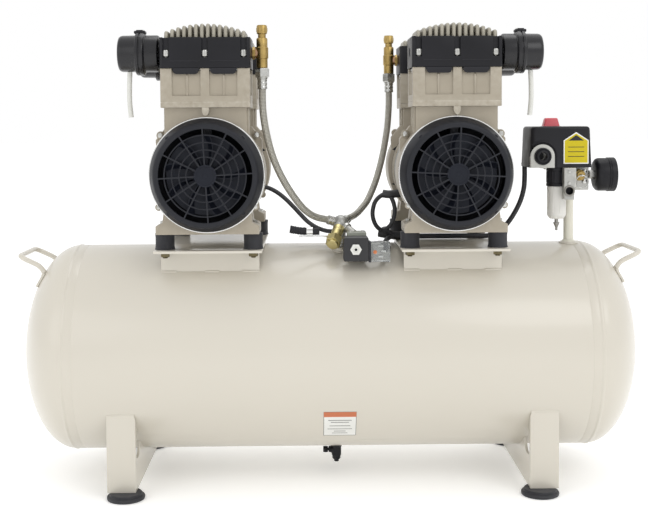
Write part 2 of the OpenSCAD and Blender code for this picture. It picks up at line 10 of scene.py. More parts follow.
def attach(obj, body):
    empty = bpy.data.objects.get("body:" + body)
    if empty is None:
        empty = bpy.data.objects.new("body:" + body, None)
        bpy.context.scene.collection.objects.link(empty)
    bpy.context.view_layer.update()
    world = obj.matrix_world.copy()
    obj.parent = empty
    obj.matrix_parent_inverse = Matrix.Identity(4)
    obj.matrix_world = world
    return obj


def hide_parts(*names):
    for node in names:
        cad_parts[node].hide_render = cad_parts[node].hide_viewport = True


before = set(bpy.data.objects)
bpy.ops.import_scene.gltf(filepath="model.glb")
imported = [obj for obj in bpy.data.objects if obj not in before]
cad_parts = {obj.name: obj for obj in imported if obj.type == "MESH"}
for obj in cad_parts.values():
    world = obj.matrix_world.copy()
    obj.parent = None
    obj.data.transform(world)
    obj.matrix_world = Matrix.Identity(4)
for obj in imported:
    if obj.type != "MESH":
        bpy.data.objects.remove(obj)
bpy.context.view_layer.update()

MM = 0.001

# ---- camera

SENSOR_MM, LENS_MM = 36.0, 61.61667
CAMERA_AT = (-0.0361, -1.816, 0.5742)
CAMERA_PITCH, CAMERA_ROLL, CAMERA_YAW = math.radians(3.0), 0.0062, -0.0148
CAMERA_SHIFT = (0.0, -0.1239)


def placed(name, data):
    """A new object of the scene that holds data."""
    obj = bpy.data.objects.new(name, data)
    bpy.context.scene.collection.objects.link(obj)
    return obj


def make_camera():
    data = bpy.data.cameras.new("camera")
    data.sensor_width, data.lens = SENSOR_MM, LENS_MM
    data.shift_x, data.shift_y = CAMERA_SHIFT
    data.clip_start, data.clip_end = 0.05, 60.0
    camera = placed("camera", data)
    camera.location = CAMERA_AT
    camera.rotation_euler = (math.pi / 2 - CAMERA_PITCH, CAMERA_ROLL, CAMERA_YAW)
    bpy.context.scene.camera = camera


make_camera()


# ---- materials

class Nodes:
    """A material's node tree, with short ways to add and link nodes."""

    def __init__(self, name):
        self.material = bpy.data.materials.new(name)
        self.material.use_nodes = True
        self.tree = self.material.node_tree
        self.shader = self.tree.nodes["Principled BSDF"]
        self.place = self.add("ShaderNodeTexCoord").outputs["Object"]

    def feed(self, socket, value):
        """Links another node's output to a socket, or sets a number or a colour on it."""
        if isinstance(value, bpy.types.NodeSocket):
            self.tree.links.new(value, socket)
        else:
            socket.default_value = (*value, 1.0) if socket.type == "RGBA" else value

    def add(self, kind, inputs=(), **settings):
        node = self.tree.nodes.new(kind)
        for key, value in settings.items():
            setattr(node, key, value)
        for key, value in dict(inputs).items():
            self.feed(node.inputs[key], value)
        return node

    def set(self, **values):
        for key, value in values.items():
            self.feed(self.shader.inputs[key.replace("_", " ")], value)

    def noise(self, scale, detail=3.0, rough=0.5):
        return self.add("ShaderNodeTexNoise", {"Vector": self.place, "Scale": scale, "Detail": detail,
                                               "Roughness": rough}).outputs["Fac"]

    def spread(self, value, low=0.0, high=1.0, start=0.3, end=0.7):
        """value, mapped from start..end to low..high."""
        return self.add("ShaderNodeMapRange", {"Value": value, "From Min": start, "From Max": end,
                                               "To Min": low, "To Max": high}).outputs[0]

    def mix(self, factor, a, b):
        return self.add("ShaderNodeMix", {0: factor, 6: a, 7: b}, data_type="RGBA").outputs[2]

    def math(self, operation, a, b=0.0):
        return self.add("ShaderNodeMath", {0: a, 1: b}, operation=operation).outputs[0]

    def edges(self, low=0.52, high=0.6):
        """1 on convex edges, 0 elsewhere."""
        raised = self.add("ShaderNodeNewGeometry").outputs["Pointiness"]
        return self.spread(raised, start=low, end=high)

    def bump(self, height, distance, strength):
        node = self.add("ShaderNodeBump", {"Height": height, "Distance": distance, "Strength": strength})
        self.set(Normal=node.outputs[0])


def painted(name, light, dark):
    """Thick gloss paint: an orange-peel skin, faint clouds of tone and a clear coat."""
    n = Nodes(name)
    n.set(Base_Color=n.mix(n.spread(n.noise(5.0, 4.0)), light, dark),
          Roughness=n.spread(n.noise(22.0), 0.28, 0.30), Coat_Weight=0.25, Coat_Roughness=0.12)
    n.bump(n.noise(120.0, 2.0), 0.0003, 0.015)
    return n.material


def casting(name, light, dark, metallic, rough, grain, depth, highlight_colour=(0.8, 0.78, 0.72)):
    """Rough cast metal under thin metallic paint, with a painted highlight in patches along its convex edges.
    """
    n = Nodes(name)
    tone = n.mix(n.spread(n.noise(34.0, 6.0)), light, dark)
    # Painted highlight: convex edges, in patches, are mixed towards a lighter colour.
    edge_highlight = n.math("MULTIPLY", n.edges(), n.spread(n.noise(120.0, 4.0), 0.0, 0.8))
    n.set(Base_Color=n.mix(edge_highlight, tone, highlight_colour), Metallic=metallic, Roughness=n.spread(n.noise(60.0), *rough))
    n.bump(n.noise(grain, 5.0, 0.6), 0.0005, depth)
    return n.material


def moulded(name, light, dark, rough=(0.34, 0.46), grain=1100.0, depth=0.12, sheen=0.0, specular=0.5):
    """Moulded plastic or rubber with a fine spark-eroded texture and paler convex edges."""
    n = Nodes(name)
    tone = n.mix(n.spread(n.noise(18.0, 5.0)), light, dark)
    paler_edges = n.math("MULTIPLY", n.edges(0.54, 0.66), 0.35)
    pale = tuple(min(1.0, 2.2 * c + 0.02) for c in light)
    n.set(Base_Color=n.mix(paler_edges, tone, pale), Roughness=n.spread(n.noise(45.0), *rough),
          Sheen_Weight=sheen, Specular_IOR_Level=specular)
    n.bump(n.noise(grain, 2.0), 0.0002, depth)
    return n.material


def printed(name, light, dark, rough, specular=0.5):
    """Smooth ink or foil on a label."""
    return moulded(name, light, dark, rough, 900.0, 0.04, specular=specular)


def metal(name, light, dark, rough=(0.2, 0.36)):
    """Bare or plated metal with machining marks and slight tarnish."""
    n = Nodes(name)
    n.set(Base_Color=n.mix(n.spread(n.noise(70.0, 6.0), start=0.35, end=0.75), light, dark), Metallic=1.0,
          Roughness=n.spread(n.noise(260.0), *rough))
    n.bump(n.noise(780.0, 2.0), 0.0002, 0.12)
    return n.material


def clear(name, tint, rough, transmission):
    """Glass or clear plastic with a faint haze."""
    n = Nodes(name)
    haze = n.noise(60.0)
    n.set(Base_Color=n.mix(n.spread(haze), tint, tuple(0.93 * c for c in tint)),
          Roughness=n.spread(haze, rough, rough + 0.08), Transmission_Weight=transmission, IOR=1.46)
    return n.material


def braided(name):
    """Crossing wire strands round a tube; the UV runs round it and along it in turns."""
    n = Nodes(name)
    uv = n.add("ShaderNodeSeparateXYZ", {0: n.add("ShaderNodeTexCoord").outputs["UV"]})
    around, along = [n.math("MULTIPLY", uv.outputs[k], 2 * math.pi * 8) for k in (0, 1)]
    crossing = [n.math("SINE", n.math(way, around, along)) for way in ("ADD", "SUBTRACT")]
    strand = n.spread(n.math("MULTIPLY", *crossing), start=-0.6, end=0.6)
    n.set(Base_Color=n.mix(strand, (0.22, 0.215, 0.19), (0.62, 0.60, 0.53)), Metallic=0.8,
          Roughness=n.spread(n.noise(900.0), 0.28, 0.42))
    n.bump(strand, 0.0006, 0.9)
    return n.material


def striped(name, light, dark, pitch, metallic=1.0):
    """Stacked laminations or wound wire: thin stripes square to Y."""
    n = Nodes(name)
    y = n.add("ShaderNodeSeparateXYZ", {0: n.place}).outputs[1]
    wave = n.math("SINE", n.math("MULTIPLY", y, 2 * math.pi / pitch))
    n.set(Base_Color=n.mix(n.spread(wave, start=-0.8, end=0.8), dark, light), Metallic=metallic,
          Roughness=n.spread(n.noise(80.0), 0.35, 0.5))
    n.bump(wave, 0.0004, 0.6)
    return n.material


CREAM = painted("cream_powder_coat", (0.586, 0.552, 0.479), (0.58, 0.546, 0.474))
# Painted light: the tank's cream paint, made lighter for the riser pipe to stand in for the extra light that
# falls on it.
CREAM_PAINTED_LIGHT = painted("pipe_cream_painted_light", (0.72, 0.70, 0.60), (0.70, 0.68, 0.585))
CAST = casting("silver_beige_casting", (0.345, 0.305, 0.24), (0.315, 0.277, 0.216), 0.22, (0.38, 0.5),
               520.0, 0.25, (0.52, 0.485, 0.41))
FIN = casting("grey_fin_metal", (0.345, 0.322, 0.265), (0.30, 0.279, 0.228), 0.3, (0.4, 0.52),
              420.0, 0.12, (0.46, 0.44, 0.37))
DIE_CAST = casting("die_cast_zinc", (0.42, 0.42, 0.40), (0.31, 0.31, 0.295), 0.7, (0.3, 0.45), 700.0, 0.25)
BLACK = moulded("moulded_black", (0.010, 0.010, 0.013), (0.007, 0.007, 0.009), specular=0.25)
COIL_BLACK = moulded("coil_black", (0.026, 0.026, 0.028), (0.019, 0.019, 0.021), (0.3, 0.42), specular=0.4)
GLOSS_BLACK = moulded("glossy_black", (0.010, 0.010, 0.012), (0.008, 0.008, 0.010), (0.22, 0.3), 900.0, 0.03,
                      specular=0.42)
BLACK_SATIN = moulded("satin_black", (0.013, 0.014, 0.019), (0.009, 0.010, 0.014), (0.42, 0.55), specular=0.3)
# Dark navy of the fans and hub; the crankcases' insides also take it as painted shade.
NAVY_AND_PAINTED_SHADE = moulded("fan_navy_and_painted_shade", (0.008, 0.010, 0.017), (0.005, 0.006, 0.011), (0.4, 0.55), specular=0.22)
RUBBER = moulded("soft_black", (0.022, 0.023, 0.029), (0.014, 0.014, 0.018), (0.58, 0.75), 800.0, 0.25, 0.1)
GREY = moulded("light_grey", (0.47, 0.47, 0.44), (0.41, 0.41, 0.385), (0.38, 0.5))
STONE_GREY = moulded("grey_green", (0.33, 0.345, 0.29), (0.28, 0.295, 0.25), (0.42, 0.55))
RED = moulded("signal_red", (0.62, 0.085, 0.11), (0.55, 0.07, 0.09), (0.28, 0.4))
WHITE = moulded("warm_white", (0.66, 0.66, 0.62), (0.61, 0.61, 0.57), (0.3, 0.42))
YELLOW = printed("yellow_label", (0.37, 0.30, 0.005), (0.345, 0.28, 0.005), (0.4, 0.5), 0.2)
ORANGE = printed("orange_label", (0.52, 0.16, 0.05), (0.47, 0.14, 0.04), (0.3, 0.4))
INK = printed("ink_grey", (0.075, 0.075, 0.068), (0.06, 0.06, 0.055), (0.4, 0.5))
RUST = printed("rust_band", (0.40, 0.115, 0.045), (0.34, 0.095, 0.035), (0.3, 0.4))
JACKET = moulded("cable_black", (0.030, 0.030, 0.034), (0.021, 0.021, 0.025), (0.4, 0.55), 600.0, 0.25)
ZINC = metal("zinc_plated_steel", (0.55, 0.55, 0.53), (0.38, 0.38, 0.36))
DARK_STEEL = metal("dark_steel", (0.33, 0.32, 0.30), (0.22, 0.21, 0.19), (0.35, 0.5))
OLIVE_STEEL = metal("passivated_steel", (0.17, 0.145, 0.085), (0.11, 0.09, 0.05), (0.32, 0.46))
FORGED = metal("forged_steel", (0.075, 0.077, 0.085), (0.05, 0.05, 0.056), (0.45, 0.6))
PALE_BRASS = metal("pale_brass", (0.62, 0.54, 0.27), (0.46, 0.39, 0.18), (0.3, 0.46))
BRASS = metal("machined_brass", (0.46, 0.33, 0.12), (0.33, 0.225, 0.08), (0.3, 0.46))
POLISHED = metal("polished_steel", (0.78, 0.78, 0.77), (0.66, 0.66, 0.65), (0.12, 0.22))
BRAID = braided("braided_steel")
LAMINATED = striped("steel_laminations", (0.42, 0.42, 0.40), (0.20, 0.20, 0.19), 0.003)
COPPER = striped("copper_winding", (0.62, 0.33, 0.14), (0.30, 0.14, 0.06), 0.0022, 0.8)
COPPER_PIPE = metal("coppery_pipe", (0.40, 0.25, 0.16), (0.28, 0.17, 0.105), (0.3, 0.46))
GLASS = clear("clear_glass", (0.96, 0.97, 0.97), 0.02, 1.0)
CLEAR_CASE = clear("clear_case", (0.80, 0.83, 0.83), 0.06, 0.85)
SMOKE = clear("clear_plastic", (0.88, 0.865, 0.82), 0.16, 0.25)


# ---- mesh tools, in millimetres

def at(x, y, z):
    return Matrix.Translation((x, y, z))


def turn(axis, degrees):
    return Matrix.Rotation(math.radians(degrees), 4, axis)


ALONG_X, ALONG_BACK_X = turn("Y", 90), turn("Y", -90)
ALONG_Y, ALONG_FRONT = turn("X", -90), turn("X", 90)


def front(x, y, z):
    """Places a part that stands on +Z at a point, pointing to the front."""
    return at(x, y, z) @ ALONG_FRONT


def aim(start, end):
    """Places a part that stands on +Z at start, pointing at end."""
    start, end = Vector(start), Vector(end)
    return Matrix.Translation(start) @ (end - start).to_track_quat("Z", "Y").to_matrix().to_4x4()


def both_ways(half):
    """The lower half of a profile, followed by its mirror image."""
    return half + [(r, -z) for r, z in reversed(half)]


def lathe(profile, steps=64):
    """A closed solid of revolution about Z from (radius, height) points, given from bottom to top."""
    bm = bmesh.new()
    full = [2 * math.pi * k / steps for k in range(steps)]
    rings = [[bm.verts.new((r * math.cos(a), r * math.sin(a), z)) for a in (full if r > 1e-7 else full[:1])]
             for r, z in profile]
    for low, high in zip(rings, rings[1:]):
        for k in range(steps):
            corners = [(low, k), (low, k + 1), (high, k + 1), (high, k)]
            corners = list(dict.fromkeys(row[i % len(row)] for row, i in corners))
            if len(corners) > 2:
                bm.faces.new(corners)
    return bm


def ring(profile, steps=64):
    """A revolved ring: the profile's last point joins its first."""
    bm = lathe(list(profile) + [profile[0]], steps)
    bmesh.ops.remove_doubles(bm, verts=bm.verts, dist=1e-4)
    return bm


def hoop(inner, outer, z0, z1, steps=64):
    """A ring with a rectangular section."""
    return ring([(inner, z0), (outer, z0), (outer, z1), (inner, z1)], steps)


def disc(r, z0, z1, edge=0.0, steps=48):
    """A round bar with its edges cut back."""
    edge = min(edge, r * 0.45, (z1 - z0) * 0.45)
    if edge <= 0:
        return lathe([(0, z0), (r, z0), (r, z1), (0, z1)], steps)
    half = edge * 0.3
    return lathe([(0, z0), (r - edge, z0), (r - half, z0 + half), (r, z0 + edge), (r, z1 - edge),
                  (r - half, z1 - half), (r - edge, z1), (0, z1)], steps)


def sharp_edges(bm, degrees):
    least = math.radians(degrees)
    return [e for e in bm.edges if len(e.link_faces) == 2 and e.calc_face_angle(0.0) > least]


def bevel(bm, edges, width, segments, clamp=True):
    bmesh.ops.bevel(bm, geom=edges, offset=width, segments=segments, profile=0.6, affect="EDGES",
                    clamp_overlap=clamp)
    return bm


def block(lo, hi, edge=1.0, segments=3):
    """A box between two corners, with round edges."""
    bm = bmesh.new()
    lo, hi = Vector(lo), Vector(hi)
    bmesh.ops.create_cube(bm, size=1.0)
    bm.transform(Matrix.Translation((lo + hi) / 2) @ Matrix.Diagonal((*(hi - lo), 1.0)))
    return bevel(bm, list(bm.edges), min(edge, 0.49 * min(hi - lo)), segments)


def skin(bm, rings):
    """Closes rings of vertices, all with the same number, into a solid."""
    bm.faces.new(reversed(rings[0]))
    bm.faces.new(rings[-1])
    for low, high in zip(rings, rings[1:]):
        for k in range(len(low)):
            j = (k + 1) % len(low)
            bm.faces.new((low[k], low[j], high[j], high[k]))
    return bm


def loft(levels):
    """A closed solid through flat outlines with the same number of points, given as (outline, z)."""
    bm = bmesh.new()
    return skin(bm, [[bm.verts.new((x, y, z)) for x, y in outline] for outline, z in levels])


def prism(outline, z0, z1, edge=1.0, segments=2):
    """A flat outline, given anticlockwise, raised from z0 to z1."""
    bm = loft([(outline, z0), (outline, z1)])
    return bevel(bm, sharp_edges(bm, 40), edge, segments) if edge > 0 else bm


def hexagon(radius, z0, z1):
    """A nut or bolt head with chamfered corners."""
    cut = radius * 0.1
    bm = lathe([(0, z0), (radius - cut, z0), (radius, z0 + cut), (radius, z1 - cut), (radius - cut, z1),
                (0, z1)], 6)
    return bevel(bm, sharp_edges(bm, 20), radius * 0.03, 1)


def smooth_path(points, per_leg=6):
    """Catmull-Rom points through the route."""
    route = [Vector(p) for p in points]
    ends = [2 * route[0] - route[1]] + route + [2 * route[-1] - route[-2]]
    path = []
    for a, b, c, d in zip(ends, ends[1:], ends[2:], ends[3:]):
        for k in range(per_leg):
            t = k / per_leg
            path.append(0.5 * ((2 * b) + (c - a) * t + (2 * a - 5 * b + 4 * c - d) * t * t
                               + (3 * b - a - 3 * c + d) * t ** 3))
    return path + [route[-1]]


def rounded_path(points, radius, steps=6):
    """Straight runs joined by round bends."""
    points = [Vector(p) for p in points]
    path = [points[0]]
    for a, b, c in zip(points, points[1:], points[2:]):
        reach = min(radius, (a - b).length * 0.45, (c - b).length * 0.45)
        start, end = b + (a - b).normalized() * reach, b + (c - b).normalized() * reach
        path += [start.lerp(b, t).lerp(b.lerp(end, t), t) for t in [k / steps for k in range(steps + 1)]]
    return path + [points[-1]]


def pipe(path, radius, sides=16, closed=False, turns=0.0):
    """A tube swept along a path, with a UV map that runs round it and along it."""
    bm = bmesh.new()
    uv = bm.loops.layers.uv.new("UVMap")
    path = [Vector(p) for p in path]
    count = len(path)
    side = None
    rings, travelled = [], [0.0]
    for i, p in enumerate(path):
        before = path[i - 1] if i or closed else p
        after = path[(i + 1) % count] if i < count - 1 or closed else p
        t = (after - before).normalized()
        side = (t.orthogonal() if side is None else side - t * side.dot(t)).normalized()
        other = t.cross(side)
        rings.append([bm.verts.new(p + radius * (math.cos(a) * side + math.sin(a) * other))
                      for a in [2 * math.pi * k / sides for k in range(sides)]])
        if i:
            travelled.append(travelled[-1] + (p - path[i - 1]).length)
    pairs = list(zip(range(count), range(1, count))) + ([(count - 1, 0)] if closed else [])
    for i, j in pairs:
        for k in range(sides):
            m = (k + 1) % sides
            face = bm.faces.new((rings[i][k], rings[i][m], rings[j][m], rings[j][k]))
            for loop, (u, v) in zip(face.loops, ((k, i), (k + 1, i), (k + 1, j), (k, j))):
                loop[uv].uv = (u / sides, travelled[v] * turns)
    if not closed:
        bm.faces.new(reversed(rings[0]))
        bm.faces.new(rings[-1])
    return bm


def round_rect(w, l, r, x=0.0, y=0.0, steps=6):
    """Rectangle w by l with round corners, centred on x, y, anticlockwise."""
    points = []
    for corner, (sx, sy) in enumerate(((1, 1), (-1, 1), (-1, -1), (1, -1))):
        for step in range(steps + 1):
            a = math.radians(90 * (corner + step / steps))
            points.append((x + sx * (w / 2 - r) + r * math.cos(a), y + sy * (l / 2 - r) + r * math.sin(a)))
    return points


def pillow(w, l, r, z0, z1, crown, x=0.0, y=0.0):
    """A round-cornered box whose top edge is rounded by crown."""
    steps = 5
    levels = [(round_rect(w, l, r, x, y), z0)]
    for k in range(steps + 1):
        a = math.radians(90 * k / steps)
        inset = crown * (1 - math.cos(a))
        levels.append((round_rect(w - 2 * inset, l - 2 * inset, max(r - inset, 0.5), x, y),
                       z1 - crown + crown * math.sin(a)))
    return loft(levels)


def tapered(bm, z0, z1, share, x=0.0, y=0.0):
    """bm drawn in towards an upright axis, by share at z1 and above."""
    for v in bm.verts:
        k = 1 - (1 - share) * min(1.0, max(0.0, (v.co.z - z0) / (z1 - z0)))
        v.co.x, v.co.y = x + (v.co.x - x) * k, y + (v.co.y - y) * k
    return bm

def as_mesh(bm, name="part"):
    mesh = bpy.data.meshes.new(name)
    bm.to_mesh(mesh)
    bm.free()
    return mesh


def carve(part, *tools):
    """part with the tools cut out of it."""
    host, *cutters = [placed("part", as_mesh(bm)) for bm in (part, *tools)]
    for cutter in cutters:
        modifier = host.modifiers.new("cut", "BOOLEAN")
        modifier.operation, modifier.object, modifier.solver = "DIFFERENCE", cutter, "EXACT"
    evaluated = host.evaluated_get(bpy.context.evaluated_depsgraph_get())
    result = bmesh.new()
    result.from_mesh(evaluated.to_mesh())
    evaluated.to_mesh_clear()
    for obj in [host] + cutters:
        mesh = obj.data
        bpy.data.objects.remove(obj)
        bpy.data.meshes.remove(mesh)
    return result


def torus(radius, wire, steps=64, sides=12):
    """A wire ring round Z."""
    path = [(radius * math.cos(2 * math.pi * k / steps), radius * math.sin(2 * math.pi * k / steps), 0)
            for k in range(steps)]
    return pipe(path, wire, sides, closed=True)


def thread(r, z0, z1, pitch=1.25, steps=24):
    """A threaded stub drawn as stacked V ridges."""
    count = max(1, int((z1 - z0) / pitch))
    profile = [(0, z0), (r * 0.86, z0)]
    for k in range(count):
        z = z0 + (k + 0.5) * (z1 - z0) / count
        profile += [(r, z), (r * 0.86, z + 0.5 * (z1 - z0) / count)]
    return lathe(profile + [(0, z1)], steps)


def refined(node, width):
    """A copy of a CAD node with its coplanar triangles joined and its edges softened."""
    bm = bmesh.new()
    bm.from_mesh(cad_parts[node].data)
    bm.transform(Matrix.Scale(1 / MM, 4))
    bmesh.ops.remove_doubles(bm, verts=bm.verts, dist=1e-3)
    bmesh.ops.dissolve_limit(bm, angle_limit=math.radians(0.8), verts=bm.verts, edges=bm.edges)
    bmesh.ops.triangulate(bm, faces=[f for f in bm.faces if len(f.verts) > 4])
    return bevel(bm, sharp_edges(bm, 30), width, 2, clamp=False)


class Piece:
    """One object of the visual model, gathered from parts that each have a material."""

    def __init__(self, node, slot, body="frame", name=None, place=Matrix.Identity(4)):
        self.name = name or node + "_detail"
        self.node, self.slot, self.body, self.place = node, slot, body, place
        self.bm = bmesh.new()
        self.materials = []

    def index(self, material):
        if material not in self.materials:
            self.materials.append(material)
        return self.materials.index(material)

    def add(self, part, material, place=Matrix.Identity(4)):
        part.transform(place)
        if place.to_3x3().determinant() < 0:
            bmesh.ops.reverse_faces(part, faces=part.faces)
        before, index = len(self.bm.faces), self.index(material)
        holder = as_mesh(part)
        self.bm.from_mesh(holder)
        bpy.data.meshes.remove(holder)
        self.bm.faces.ensure_lookup_table()
        for face in self.bm.faces[before:]:
            face.material_index, face.smooth = index, True
        return self

    def add_cad(self, width, material):
        """Adds the CAD shape of its own node, with edges softened by width."""
        return self.add(refined(self.node, width), material, self.place.inverted())

    def repaint(self, material, chosen):
        """Gives another material to the faces whose middle point is chosen."""
        index = self.index(material)
        for face in self.bm.faces:
            if chosen(face.calc_center_median()):
                face.material_index = index
        return self

    def done(self, sharp_angle=34.0):
        self.bm.transform(Matrix.Scale(MM, 4) @ self.place)
        mesh = as_mesh(self.bm, self.name)
        for material in self.materials:
            mesh.materials.append(material)
        mesh.set_sharp_from_angle(angle=math.radians(sharp_angle))
        obj = placed(self.name, mesh)
        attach(obj, self.body)
        if self.node:
            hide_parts(self.node)
        return obj


# ---- cords

LEFT_HOSE = [(-105, -110, 625), (-105, -110, 607), (-104, -110, 588), (-101, -109, 566),
    (-96, -106, 542), (-89, -102, 518), (-80, -97, 496), (-69, -91, 475), (-57, -83, 456),
    (-45, -74, 440), (-33, -65, 429), (-22, -57, 423), (-12, -50, 420), (-4, -46, 418)]
RIGHT_HOSE = [(105, 110, 625), (105, 110, 607), (104, 109, 588), (102, 106, 566),
    (98, 101, 542), (93, 94, 518), (87, 85, 496), (80, 73, 475), (72, 60, 457),
    (63, 45, 441), (54, 31, 431), (46, 18, 424), (39, 6, 420), (33, -4, 418), (27, -15, 416)]
LEFT_TAIL = [(-307, -110, 652), (-308, -110, 630), (-308, -110, 606), (-306, -110, 583)]
RIGHT_TAIL = [(-x, y, z) for x, y, z in LEFT_TAIL]
SWITCH_CABLE = [(318, -10, 500), (318, -10, 482), (317, -9, 464), (312, -7, 444),
    (303, -4, 424), (291, 0, 405), (276, 4, 391), (258, 7, 385), (230, 8, 385), (195, 8, 385),
    (160, 8, 385), (132, 6, 385), (113, -1, 386), (100, -14, 387), (92, -34, 386),
    (86, -57, 382), (82, -80, 378)]
LEFT_LEAD = [(-114, -12, 470), (-101, -13, 468), (-87, -14, 461), (-73, -15, 450),
    (-60, -16, 437), (-48, -17, 424), (-36, -18, 412), (-22, -19, 403), (-8, -20, 398),
    (3, -23, 397)]
RIGHT_LEAD = [(119, -10, 458), (106, -10, 459), (93, -10, 458), (82, -11, 453),
    (74, -12, 445), (70, -12, 434), (69, -13, 422), (72, -13, 410), (78, -12, 401), (87, -9, 395)]
RIGHT_LOOP = [(99, -16, 452), (103, -17, 442), (105, -17, 430), (103, -17, 417),
    (98, -16, 406), (91, -14, 399)]
HOSE_D, CABLE_D, LEAD_D, TAIL_D = 11, 8, 7, 7.5


def make_cord(name, points, diameter, material, slot):
    path = smooth_path(points)
    piece = Piece(name, slot)
    piece.add(pipe(path, diameter / 2, 20, turns=1 / (math.pi * diameter)), material)
    obj = piece.done()
    line = [p * MM for p in path]
    length = sum((b - a).length for a, b in zip(line, line[1:]))
    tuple(line[0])


def make_cords():
    make_cord("left_discharge_hose", LEFT_HOSE, HOSE_D, BRAID, "braid")
    make_cord("right_discharge_hose", RIGHT_HOSE, HOSE_D, BRAID, "braid")
    make_cord("left_filter_tail", LEFT_TAIL, TAIL_D, WHITE, "white_plastic")
    make_cord("right_filter_tail", RIGHT_TAIL, TAIL_D, WHITE, "white_plastic")
    make_cord("switch_cable", SWITCH_CABLE, CABLE_D, JACKET, "cable_jacket")
    make_cord("left_motor_cable", LEFT_LEAD, LEAD_D, JACKET, "cable_jacket")
    make_cord("right_motor_cable", RIGHT_LEAD, LEAD_D, JACKET, "cable_jacket")
    make_cord("right_loop_cable", RIGHT_LOOP, LEAD_D, JACKET, "cable_jacket")


make_cords()


# ---- main dimensions, millimetres

TANK_Z, TANK_R, SEAM_X, END_X, WALL = 210, 165, 410, 492, 3.5
SHELL_X = 406
BUNGS = [(390, -10, 369, 14, 8), (16, -40, 363, 14, 11), (8, 0, 42, 12, 9)]  # x, y, z, radius, height
PUMP_X, CRANK_Z, HEAD_Y = 189, 495, 110
MOUNT_X, SADDLE_Z, FOOT_TOP = 68, 380, 418
HEAD_Z, SHROUD_TOP, FIN_TOP, PORT_Z, FLANGE_Z = 656, 702, 723, 680, 597
FIN_COUNT, FIN_PITCH, SCREW_XS = 14, 8.9, (-58, 0, 58)
MOUTH_R, HUB_R = 70, 17
TEE_X = 84
CROSS = Vector((16, -40, 412))
CHECK_TO = Vector((2, -80, 383))
COIL_TO = (38, -64, 396)
DRAIN_X, DRAIN_Z = 8, 32
ENTRY_X, ENTRY_Z, HOOD_R = 334, 518, 23.3
SPARE_X, SPARE_Z = 374, 464
SWITCH, KNOB, FILTER = (364.5, -30), (356, -30), (361, -52)
GAUGE_Y, GAUGE_Z = -30, 487
SAFETY_X = 399
SIDES = {"left": at(-PUMP_X, 0, 0), "right": at(PUMP_X, 0, 0) @ turn("Z", 180)}
ENDS = (Matrix.Identity(4), Matrix.Scale(-1, 4, (0, 1, 0)))
LENGTHWISE = Matrix(((0, 0, 1, 0), (1, 0, 0, 0), (0, 1, 0, 0), (0, 0, 0, 1)))
CORNERS = [(sx, sy) for sx in (-1, 1) for sy in (-1, 1)]


# ---- tank

def make_tank():
    inner = TANK_R - WALL
    shell = Piece("tank_shell", "tank_paint")
    joggles = [(TANK_R, -395.5), (TANK_R - 0.5, -394), (TANK_R, -392.5)]
    outer = [(TANK_R, -SHELL_X)] + joggles + [(r, -x) for r, x in reversed(joggles)] + [(TANK_R, SHELL_X)]
    lying = at(0, 0, TANK_Z) @ ALONG_X
    shell.add(ring(outer + [(inner, SHELL_X), (inner, -SHELL_X)], 192), CREAM, lying)
    for x, y, z, r, h in BUNGS:
        shell.add(disc(r, z, z + h, 1.2), CREAM, at(x, y, 0))
    for x, y, z, r, h in BUNGS[:2]:
        surface = TANK_Z + math.sqrt(TANK_R ** 2 - y ** 2)
        tilt = turn("X", math.degrees(math.asin(-y / TANK_R)))
        shell.add(torus(r, 1.8, 48, 8), CREAM, at(x, y, surface) @ tilt)
    shell.done()
    caps = Piece("tank_end_caps", "tank_paint")
    profile = [(TANK_R, SHELL_X)]
    profile += [(TANK_R + rise, SEAM_X - 2.6 + k) for k, rise in enumerate((0.1, 0.7, 0.95, 0.95, 0.7, 0.1))]
    steps = 40
    for k in range(1, steps + 1):
        a = math.pi / 2 * k / steps
        profile.append((TANK_R * math.cos(a) if k < steps else 0, SEAM_X + (END_X - SEAM_X) * math.sin(a)))
    for k in range(steps, -1, -1):
        a = math.pi / 2 * k / steps
        profile.append((inner * math.cos(a) if k < steps else 0,
                        SEAM_X + (END_X - SEAM_X - WALL) * math.sin(a)))
    profile.append((inner, SHELL_X))
    for facing in (ALONG_X, ALONG_BACK_X):
        caps.add(ring(profile, 192), CREAM, at(0, 0, TANK_Z) @ facing)
    caps.done()


def weld(path, r=2.0, sides=10):
    """A rippled weld bead laid along a path."""
    dense = smooth_path(path, 8) if len(path) > 2 else [Vector(path[0]).lerp(Vector(path[1]), k / 16)
                                                       for k in range(17)]
    bm = pipe(dense, r, sides)
    for vert in bm.verts:
        vert.co += Vector((0, 0, 0.25 * math.sin(2.4 * (vert.co.x + vert.co.y + vert.co.z))))
    return bm


def make_handles():
    handles = Piece("carry_handles", "tank_paint")
    half = [(452, -55, 316), (458, -55, 346), (496, -55, 364)]
    bar = half + [(x, -y, z) for x, y, z in reversed(half)]
    for way in (-1, 1):
        facing = Matrix.Scale(way, 4, (1, 0, 0))
        path = rounded_path([(way * x, y, z) for x, y, z in bar], 14, 8)
        handles.add(pipe(path, 4, 20), CREAM)
        for y in (-55, 55):
            plate = block((0, 0, 0), (24, 18, 4), 1.2)
            handles.add(plate, CREAM, facing @ at(453.5, y - 9, 336) @ turn("Y", 60))
            handles.add(torus(5, 1.5, 32, 8), CREAM, facing @ at(457.5, y, 337) @ turn("Y", 60))
    handles.done()


